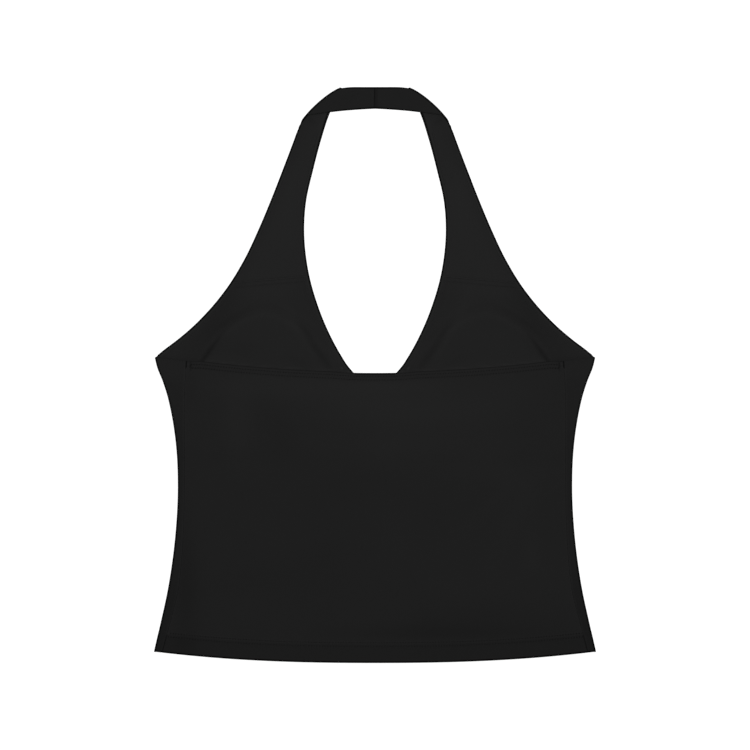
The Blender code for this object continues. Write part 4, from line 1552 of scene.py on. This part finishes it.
def new_material(name, specular, sheen):
    """A material with its shader, whose even values stand on the shader's own sockets."""
    material = bpy.data.materials.new(name)
    material.use_nodes = True
    tree = material.node_tree
    shader = tree.nodes["Principled BSDF"]
    shader.inputs["Specular IOR Level"].default_value = specular
    shader.inputs["Sheen Weight"].default_value = sheen
    shader.inputs["Sheen Roughness"].default_value = 0.5
    shader.inputs["Metallic"].default_value = 0.0
    return material, tree, shader


def mark(tree, name):
    """A number that the mesh keeps for each of its points."""
    return new_node(tree, "ShaderNodeAttribute", attribute_name=name).outputs["Fac"]


def grain_of(tree):
    """Place in the cut, or along a thread."""
    return new_node(tree, "ShaderNodeUVMap", uv_map="Grain").outputs["UV"]


def place_of(tree):
    """Place on the garment."""
    return new_node(tree, "ShaderNodeTexCoord").outputs["Object"]


def dress(tree, shader, dye, height, depth, strength):
    """Give a material its colour with its painted light and shade, and a fine relief."""
    wire(tree, dye["Colour"], shader.inputs["Base Color"])
    wire(tree, dye["Roughness"], shader.inputs["Roughness"])
    bumped = new_node(tree, "ShaderNodeBump")
    bumped.inputs["Distance"].default_value = depth
    bumped.inputs["Strength"].default_value = strength
    wire(tree, height, bumped.inputs["Height"])
    wire(tree, bumped.outputs["Normal"], shader.inputs["Normal"])


def knit_material(name, colour, looks, wale, course):
    """Matt black jersey with its loops along the cut's grain."""
    material, tree, shader = new_material(name, looks.specular, looks.sheen)
    # Painted light and shade from the mesh's marks: lighter and darker places, and painted shade in edges,
    # seams and needle holes; the inner side is made lighter
    inner_light = maths(tree, "MULTIPLY", mark(tree, "inside"), looks.inside_light)
    tone = maths(tree, "ADD", mark(tree, "tone"), inner_light)
    loops = use_group(tree, "Jersey loops", Place=grain_of(tree), Wale=wale, Course=course)
    dye = use_group(tree, "Dye and painted shade", Place=place_of(tree), Colour=(*colour, 1.0), Tone=tone,
                    Edge=mark(tree, "shade"), Gutter=loops["Gutter"], Edge_dark=looks.painted_shade_depth,
                    Mottle=looks.mottle)
    dress(tree, shader, dye, loops["Height"], LOOP_DEPTH, looks.knit_bump)
    return material


def thread_material(looks):
    """Fine twisted sewing thread."""
    material, tree, shader = new_material("Sewing thread", looks.thread_specular, 0.0)
    twist = use_group(tree, "Thread twist", Place=grain_of(tree), Turns=THREAD_TURNS)
    # Painted shade on the ends of each stitch, where they dive into the cloth
    dye = use_group(tree, "Dye and painted shade", Place=place_of(tree), Colour=(*looks.thread_colour, 1.0),
                    Mottle=THREAD_MOTTLE, Edge=twist["Ends"], Edge_dark=looks.thread_end_shade)
    dress(tree, shader, dye, twist["Height"], TWIST_DEPTH, FINE_BUMP)
    return material


def foam_material(looks):
    """Fabric-faced soft foam."""
    material, tree, shader = new_material("Pad foam", looks.specular, looks.sheen)
    place = place_of(tree)
    dye = use_group(tree, "Dye and painted shade", Place=place, Colour=(*looks.foam_colour, 1.0),
                    Mottle=FOAM_MOTTLE)
    dress(tree, shader, dye, noise(tree, place, FOAM_GRAIN, 3.0), FOAM_DEPTH, FINE_BUMP)
    return material


def capsule(length, radius, arch, sides=6, rings=5):
    """Points and faces of one stitch, which arches up in its middle and dives in at its ends."""
    points, faces, places = [], [], []
    for ring in range(rings + 1):
        along = ring / rings
        round_off = math.sqrt(max(1.0 - (2 * along - 1) ** 4, 0.0))
        for turn in range(sides):
            angle = 2 * math.pi * turn / sides
            spread = radius * max(round_off, 0.25)
            height = arch * (1.0 - (2 * along - 1) ** 2)
            points.append(((along - 0.5) * length, spread * math.cos(angle),
                           height + spread * math.sin(angle)))
            places.append((along, turn / sides))
    for ring in range(rings):
        for turn in range(sides):
            a, b = ring * sides + turn, ring * sides + (turn + 1) % sides
            faces.append((a, b, b + sides, a + sides))
    faces.append(tuple(reversed(range(sides))))
    faces.append(tuple(range(rings * sides, (rings + 1) * sides)))
    return np.array(points), faces, np.array(places)


def spaced(path, pitch, phase=0.5, across=False):
    """Places and directions of the stitches along a path of points, or evenly across the garment."""
    steps = np.abs(np.diff(path[:, 0])) if across else np.linalg.norm(np.diff(path, axis=0), axis=1)
    reach = np.concatenate([[0.0], np.cumsum(steps)])
    at = np.arange(phase * pitch, reach[-1], pitch)
    places, ahead, behind = (
        np.stack([np.interp(at + shift, reach, path[:, k]) for k in (0, 1)], axis=1)
        for shift in (0.0, LOOK_AHEAD, -LOOK_AHEAD))
    return places, ahead - behind


def zigzag(x, top, foot, width, legs):
    """Middles and directions of the legs of a zigzag that runs down from top to foot."""
    levels = np.linspace(top, foot, legs + 1)
    corners = np.stack([x + width / 2 * (-1.0) ** np.arange(legs + 1), levels], axis=1)
    return (corners[1:] + corners[:-1]) / 2, corners[1:] - corners[:-1]


def upper_thread(sizes, length=None):
    """Sizes of a stitch on a side that shows: length, radius, arch and sink."""
    return length or sizes.stitch_length, sizes.thread_radius, sizes.stitch_arch, sizes.stitch_sink


def lower_thread(sizes):
    """Sizes of a stitch on the side that lies on the floor, flat in its groove."""
    radius, arch, sink = UNDERSIDE_THREAD
    return (sizes.stitch_length, radius * sizes.thread_radius, arch * sizes.stitch_arch,
            sink * sizes.stitch_sink)


def sew(name, cloth, rows, thread_sizes, from_above=True):
    """Threads of some stitch rows, laid on a piece of cloth, as one mesh."""
    tree = BVHTree.FromPolygons([point.co for point in cloth.vertices],
                                [tuple(face.vertices) for face in cloth.polygons])
    down = Vector((0.0, 0.0, -1.0 if from_above else 1.0))
    length, radius, arch, sink = thread_sizes
    stitch, stitch_faces, stitch_places = capsule(length, radius, arch)
    points, faces, places = [], [], []
    for spots, directions in rows:
        for spot, direction in zip(spots, directions):
            start = Vector((spot[0] * MM, spot[1] * MM, -SEARCH_FROM * down.z))
            hit, normal, _, _ = tree.ray_cast(start, down)
            if hit is None:
                continue
            up = normal if normal.dot(down) < 0.0 else -normal
            along = Vector((direction[0], direction[1], 0.0))
            along = (along - up * along.dot(up)).normalized()
            across = up.cross(along)
            frame_of_stitch = np.array((along, across, up))
            centre = np.array(hit) - np.array(up) * sink
            first = len(points) * len(stitch)
            points.append(stitch @ frame_of_stitch + centre)
            faces += [tuple(first + corner for corner in face) for face in stitch_faces]
            places.append(stitch_places)
    mesh = bpy.data.meshes.new(name)
    mesh.from_pydata(np.concatenate(points).tolist(), [], faces)
    laid = np.concatenate(places)
    set_grain(mesh, laid[:, 0], laid[:, 1])
    mesh.shade_smooth()
    return mesh


def add_piece(name, mesh, material, slot_name, *nodes):
    """Link a piece into the scene, ride it on the part's body and hide the parts that it stands for."""
    mesh.materials.append(material)
    piece = bpy.data.objects.new(name, mesh)
    bpy.context.scene.collection.objects.link(piece)
    if nodes:
        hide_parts(*nodes)
    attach(piece, "root")
    return piece


def shared_material(name, make):
    """The material of this name, made the first time that it is asked for."""
    return bpy.data.materials.get(name) or make()


def outer_knit(looks):
    """Jersey of the front and the back."""
    return shared_material("Outer jersey", lambda: knit_material(
        "Outer jersey", looks.outer_colour, looks, OUTER_WALE, COURSE))


def lining_knit(looks):
    """Finer jersey of the lining."""
    return shared_material("Lining jersey", lambda: knit_material(
        "Lining jersey", looks.lining_colour, looks, LINING_WALE, COURSE))


def sewing_thread(looks):
    """Thread of all the stitches."""
    return shared_material("Sewing thread", lambda: thread_material(looks))


class CropTopSizes(bpy.types.PropertyGroup):
    """How fine the cloth is made, and the sizes of its edges and stitches."""

    fine_step: FloatProperty(name="Fine step", description="Spacing of points beside seams and hems",
                             default=0.00045, unit="LENGTH", precision=5)
    coarse_step: FloatProperty(name="Coarse step", description="Spacing of points on open cloth",
                               default=0.0026, unit="LENGTH", precision=5)
    hidden_step: FloatProperty(name="Hidden step", description="Spacing of rows on the front's body",
                               default=0.0032, unit="LENGTH", precision=5)
    front_columns: IntProperty(name="Front columns", description="Columns between the front's borders",
                               default=26)
    lining_columns: IntProperty(name="Lining columns", description="Columns between the lining's borders",
                                default=56)
    edge_round: FloatProperty(name="Edge round", description="How far a rounded cloth edge bulges",
                              default=0.00035, unit="LENGTH", precision=5)
    rim_rings: IntProperty(name="Rim rings", description="Rings of points round a cloth edge", default=3)
    stitch_pitch: FloatProperty(name="Stitch pitch", description="From one stitch to the next",
                                default=0.0024, unit="LENGTH", precision=5)
    stitch_length: FloatProperty(name="Stitch length", description="Length of thread that shows",
                                 default=0.00185, unit="LENGTH", precision=5)
    stitch_arch: FloatProperty(name="Stitch arch", description="Rise of a stitch in its middle",
                               default=0.00012, unit="LENGTH", precision=5)
    stitch_sink: FloatProperty(name="Stitch sink", description="How deep a stitch's ends lie",
                               default=0.00003, unit="LENGTH", precision=5)
    thread_radius: FloatProperty(name="Thread radius", description="Half the thread's thickness",
                                 default=0.00018, unit="LENGTH", precision=5)


class CropTopLooks(bpy.types.PropertyGroup):
    """Colours and finish of the cloth, foam and thread."""

    outer_colour: FloatVectorProperty(name="Outer jersey", description="Colour of the outer cloth",
                                      default=(0.0122, 0.0122, 0.0122), subtype="COLOR", size=3)
    lining_colour: FloatVectorProperty(name="Lining jersey", description="Colour of the lining",
                                       default=(0.0128, 0.0128, 0.0128), subtype="COLOR", size=3)
    foam_colour: FloatVectorProperty(name="Pad foam", description="Colour of the cup pads",
                                     default=(0.016, 0.016, 0.016), subtype="COLOR", size=3)
    thread_colour: FloatVectorProperty(name="Thread", description="Colour of the sewing thread",
                                       default=(0.0125, 0.0125, 0.0125), subtype="COLOR", size=3)
    specular: FloatProperty(name="Specular level", description="Gloss of the knit", default=0.05)
    thread_specular: FloatProperty(name="Thread specular", description="Gloss of the thread", default=0.08)
    sheen: FloatProperty(name="Sheen", description="Light that the knit's fuzz catches", default=0.0)
    mottle: FloatProperty(name="Mottle", description="Unevenness of the dye", default=0.16)
    inside_light: FloatProperty(name="Inside light", description="How much lighter the inner side looks",
                                default=0.16)
    # Depth of the painted shade on the ends of each stitch
    thread_end_shade: FloatProperty(name="Thread ends", description="How dark the ends of a stitch are",
                               default=0.92)
    # Depth of the painted shade in turned edges, seams and needle holes
    painted_shade_depth: FloatProperty(name="Edge dark", description="Depth of the shade in turned edges", default=0.88)
    knit_bump: FloatProperty(name="Knit bump", description="Strength of the knit's relief", default=0.3)


class CropTopStage(bpy.types.PropertyGroup):
    """Camera, floor and light."""

    view_width: FloatProperty(name="View width", description="Width of floor that the picture shows",
                              default=0.6654, unit="LENGTH", precision=4)
    camera_height: FloatProperty(name="Camera height", description="Height of the camera above the floor",
                                 default=6.0, unit="LENGTH")
    world_light: FloatProperty(name="World light", description="Strength of the light all round",
                               default=0.35)
    overhead_light: FloatProperty(name="Overhead light", description="Power of the soft light above",
                                  default=18.9, unit="POWER")
    floor_glow: FloatProperty(name="Floor glow", description="Brightness of the white floor itself",
                              default=1.0)


class CROPTOP_OT_front(bpy.types.Operator):
    """Build the front with its flaps, straps and neckband"""

    bl_idname = "croptop.front"
    bl_label = "Front"

    def execute(self, context):
        sizes, looks = context.scene.crop_top_sizes, context.scene.crop_top_looks
        mesh = build_front(sizes)
        piece = add_piece("front_cloth", mesh, outer_knit(looks), "outer_knit", "front_panel")
        return {"FINISHED"}


class CROPTOP_OT_back(bpy.types.Operator):
    """Build the back panel with its two hems"""

    bl_idname = "croptop.back"
    bl_label = "Back"

    def execute(self, context):
        sizes, looks = context.scene.crop_top_sizes, context.scene.crop_top_looks
        mesh = build_back(sizes)
        piece = add_piece("back_cloth", mesh, outer_knit(looks), "outer_knit", "back_panel")
        return {"FINISHED"}


class CROPTOP_OT_lining(bpy.types.Operator):
    """Build the bust lining over the cups"""

    bl_idname = "croptop.lining"
    bl_label = "Bust lining"

    def execute(self, context):
        sizes, looks = context.scene.crop_top_sizes, context.scene.crop_top_looks
        mesh = build_lining(sizes)
        piece = add_piece("lining_cloth", mesh, lining_knit(looks), "lining_knit", "bust_lining")
        return {"FINISHED"}


class CROPTOP_OT_pads(bpy.types.Operator):
    """Build the two cup pads"""

    bl_idname = "croptop.pads"
    bl_label = "Cup pads"

    def execute(self, context):
        looks = context.scene.crop_top_looks
        for side_name, hand in (("left", -1), ("right", 1)):
            mesh = build_pad(f"cup_{side_name}", hand)
            foam = shared_material("Pad foam", lambda: foam_material(looks))
            piece = add_piece(f"cup_{side_name}", mesh, foam, "pad_foam", f"cup_pad_{side_name}")
        return {"FINISHED"}


def all_rows(sizes, front, back, lining):
    """Every piece of sewing: its name, cloth, rows, thread sizes, and whether it lies on the upper side."""
    pitch = sizes.stitch_pitch / MM
    above, below = upper_thread(sizes), lower_thread(sizes)
    top, bottom, flap, under = [], [], [], []
    for number, row in enumerate(TOP_HEM_ROWS):
        path = level_path(BACK_TOP_SIDE - row, TOP_HEM_END, back_y)
        top.append(spaced(path, pitch, row_phase(number), True))
    for number, row in enumerate(BOTTOM_HEM_ROWS):
        level, phase = HEM_LEVEL + row, row_phase(number)
        path = level_path(level, bottom_row_reach(row), back_y)
        bottom.append(spaced(path, pitch, phase, True))
        path = level_path(level, side(level) - UNDERSIDE_CLEAR, sagging)
        under.append(spaced(path, pitch, phase))
        x = np.linspace(seam(level) + SEAM_CLEAR, side(level) - FOLD_CLEAR, FLAP_PATH_POINTS)
        flap += [spaced(path, pitch, phase) for path in both_sides(np.stack([x, sagging(x, level)], axis=1))]
    tacks = [zigzag(hand * BARTACK_X, BARTACK_TOP, BARTACK_FOOT, BARTACK_WIDTH, BARTACK_LEGS)
             for hand in (-1, 1)]
    knot = [(np.array([SEAM_DOT]), np.array([SEAM_DOT_RUN]))]
    strap = front_strap(sizes, sizes.front_columns)["points"][..., :2]
    shown, hidden = [], []
    for column in (BORDER_PLACES.index(ARMHOLE_ROW), -1 - BORDER_PLACES.index(NECK_ROW)):
        path = strap[:, column]
        for half in both_sides(path[path[:, 1] < EDGE_ROWS_END]):
            hidden.append(spaced(half, pitch))
            shown.append(spaced(half[half[:, 1] > LINING_TOP_NECK + LINING_CLEAR], pitch))
    grid = lining_half(sizes, -1)["points"][..., :2]
    inside = []
    column = BORDER_PLACES.index(LINING_ROW_PLACE)
    for path, low in zip((grid[:, column], grid[:, -1 - column]), LINING_ROW_LEVELS):
        inside += [spaced(half, pitch) for half in both_sides(path[path[:, 1] > low])]
    edge = grid[-1]
    low, high = edge[0, 0] + STRAP_SEAM_CLEAR[0], edge[-1, 0] - STRAP_SEAM_CLEAR[1]
    edge = edge[(edge[:, 0] > low) & (edge[:, 0] < high)]
    for number, row in enumerate(STRAP_SEAM_ROWS):
        inside += [spaced(half, pitch, row_phase(number)) for half in both_sides(edge - np.array((0.0, row)))]
    return (
        ("top_hem_stitches", back, top, above, True),
        ("bartack_stitches", back, tacks, upper_thread(sizes, BARTACK_WIDTH * MM), True),
        ("hem_stitches", back, bottom, above, True),
        ("flap_hem_stitches", front, flap, above, True),
        ("seam_knot", front, knot, upper_thread(sizes, MM), True),
        ("front_hem_stitches", front, under, below, False),
        ("edge_stitches", front, shown, above, True),
        ("front_edge_stitches", front, hidden, below, False),
        ("lining_stitches", lining, inside, above, True),
    )


def sagging(x, level):
    """Place along the garment of a point on one of the front's rows."""
    return level + hem_sag(x, level)


def level_path(level, reach, y_of):
    """Path along one of the body's rows, from side to side."""
    x = np.linspace(-reach, reach, PATH_POINTS)
    return np.stack([x, y_of(x, np.full_like(x, level))], axis=1)


def both_sides(path):
    """A path and the same on the other side of the garment."""
    return [path, path * np.array((-1.0, 1.0))]


class CROPTOP_OT_stitches(bpy.types.Operator):
    """Sew the hems, borders and seams with real threads"""

    bl_idname = "croptop.stitches"
    bl_label = "Stitches"

    def execute(self, context):
        sizes = context.scene.crop_top_sizes
        thread = sewing_thread(context.scene.crop_top_looks)
        cloths = [bpy.data.objects[f"{name}_cloth"].data for name in ("front", "back", "lining")]
        for name, cloth, rows, thread_sizes, from_above in all_rows(sizes, *cloths):
            add_piece(name, sew(name, cloth, rows, thread_sizes, from_above), thread, None)
        return {"FINISHED"}


class CROPTOP_OT_stage(bpy.types.Operator):
    """Make the white floor, the soft light and the camera"""

    bl_idname = "croptop.stage"
    bl_label = "Stage"

    def execute(self, context):
        scene, stage = context.scene, context.scene.crop_top_stage
        scene.view_settings.view_transform = "Standard"
        world = bpy.data.worlds.new("Studio white")
        world.use_nodes = True
        world.node_tree.nodes["Background"].inputs["Color"].default_value = (1.0, 1.0, 1.0, 1.0)
        world.node_tree.nodes["Background"].inputs["Strength"].default_value = stage.world_light
        scene.world = world
        make_floor(scene, stage)
        make_light(scene, "Overhead", LAMP_PLACE, LAMP_SIZE, stage.overhead_light)
        camera = bpy.data.objects.new("Camera", bpy.data.cameras.new("Camera"))
        scene.collection.objects.link(camera)
        camera.location = (0.0, 0.0, stage.camera_height)
        camera.data.sensor_width = SENSOR_WIDTH
        camera.data.lens = SENSOR_WIDTH * stage.camera_height / stage.view_width
        camera.data.clip_start, camera.data.clip_end = 0.1, 100.0
        scene.camera = camera
        return {"FINISHED"}


def make_floor(scene, stage):
    """A wide white floor."""
    mesh = bpy.data.meshes.new("Floor")
    floor = bmesh.new()
    bmesh.ops.create_grid(floor, x_segments=1, y_segments=1, size=FLOOR_HALF_SIZE)
    floor.to_mesh(mesh)
    floor.free()
    material = bpy.data.materials.new("White floor")
    material.use_nodes = True
    shader = material.node_tree.nodes["Principled BSDF"]
    shader.inputs["Base Color"].default_value = FLOOR_COLOUR
    shader.inputs["Roughness"].default_value = 0.9
    shader.inputs["Emission Color"].default_value = (1.0, 1.0, 1.0, 1.0)
    shader.inputs["Emission Strength"].default_value = stage.floor_glow
    mesh.materials.append(material)
    piece = bpy.data.objects.new("Floor", mesh)
    piece.location.z = -FLOOR_DROP
    scene.collection.objects.link(piece)


def make_light(scene, name, place, size, power):
    """A square soft light that looks at the middle of the garment."""
    lamp = bpy.data.lights.new(name, "AREA")
    lamp.shape = "SQUARE"
    lamp.size = size
    lamp.energy = power
    light = bpy.data.objects.new(name, lamp)
    light.location = place
    light.rotation_mode = "QUATERNION"
    light.rotation_quaternion = (-Vector(place)).to_track_quat("-Z", "Y")
    light.visible_camera = False
    scene.collection.objects.link(light)


class CROPTOP_PT_panel(bpy.types.Panel):
    """Sizes, looks and pieces of the crop top"""

    bl_label = "Halter crop top"
    bl_idname = "CROPTOP_PT_panel"
    bl_space_type = "VIEW_3D"
    bl_region_type = "UI"
    bl_category = "Crop top"

    def draw(self, context):
        scene = context.scene
        for group in (scene.crop_top_sizes, scene.crop_top_looks, scene.crop_top_stage):
            box = self.layout.box()
            for name in group.__annotations__:
                box.prop(group, name)
        for operator in PIECES:
            self.layout.operator(operator.bl_idname)


PIECES = (
    CROPTOP_OT_pads,
    CROPTOP_OT_front,
    CROPTOP_OT_lining,
    CROPTOP_OT_back,
    CROPTOP_OT_stitches,
    CROPTOP_OT_stage,
)
CLASSES = (CropTopSizes, CropTopLooks, CropTopStage, *PIECES, CROPTOP_PT_panel)


def register():
    for item in CLASSES:
        bpy.utils.register_class(item)
    bpy.types.Scene.crop_top_sizes = PointerProperty(type=CropTopSizes)
    bpy.types.Scene.crop_top_looks = PointerProperty(type=CropTopLooks)
    bpy.types.Scene.crop_top_stage = PointerProperty(type=CropTopStage)


def unregister():
    del bpy.types.Scene.crop_top_stage
    del bpy.types.Scene.crop_top_looks
    del bpy.types.Scene.crop_top_sizes
    for item in reversed(CLASSES):
        bpy.utils.unregister_class(item)


def main():
    """Register the sizes, looks and panel, then build every piece in order."""
    register()
    bpy.ops.croptop.pads()
    bpy.ops.croptop.front()
    bpy.ops.croptop.lining()
    bpy.ops.croptop.back()
    bpy.ops.croptop.stitches()
    bpy.ops.croptop.stage()


if __name__ == "__main__":
    main()
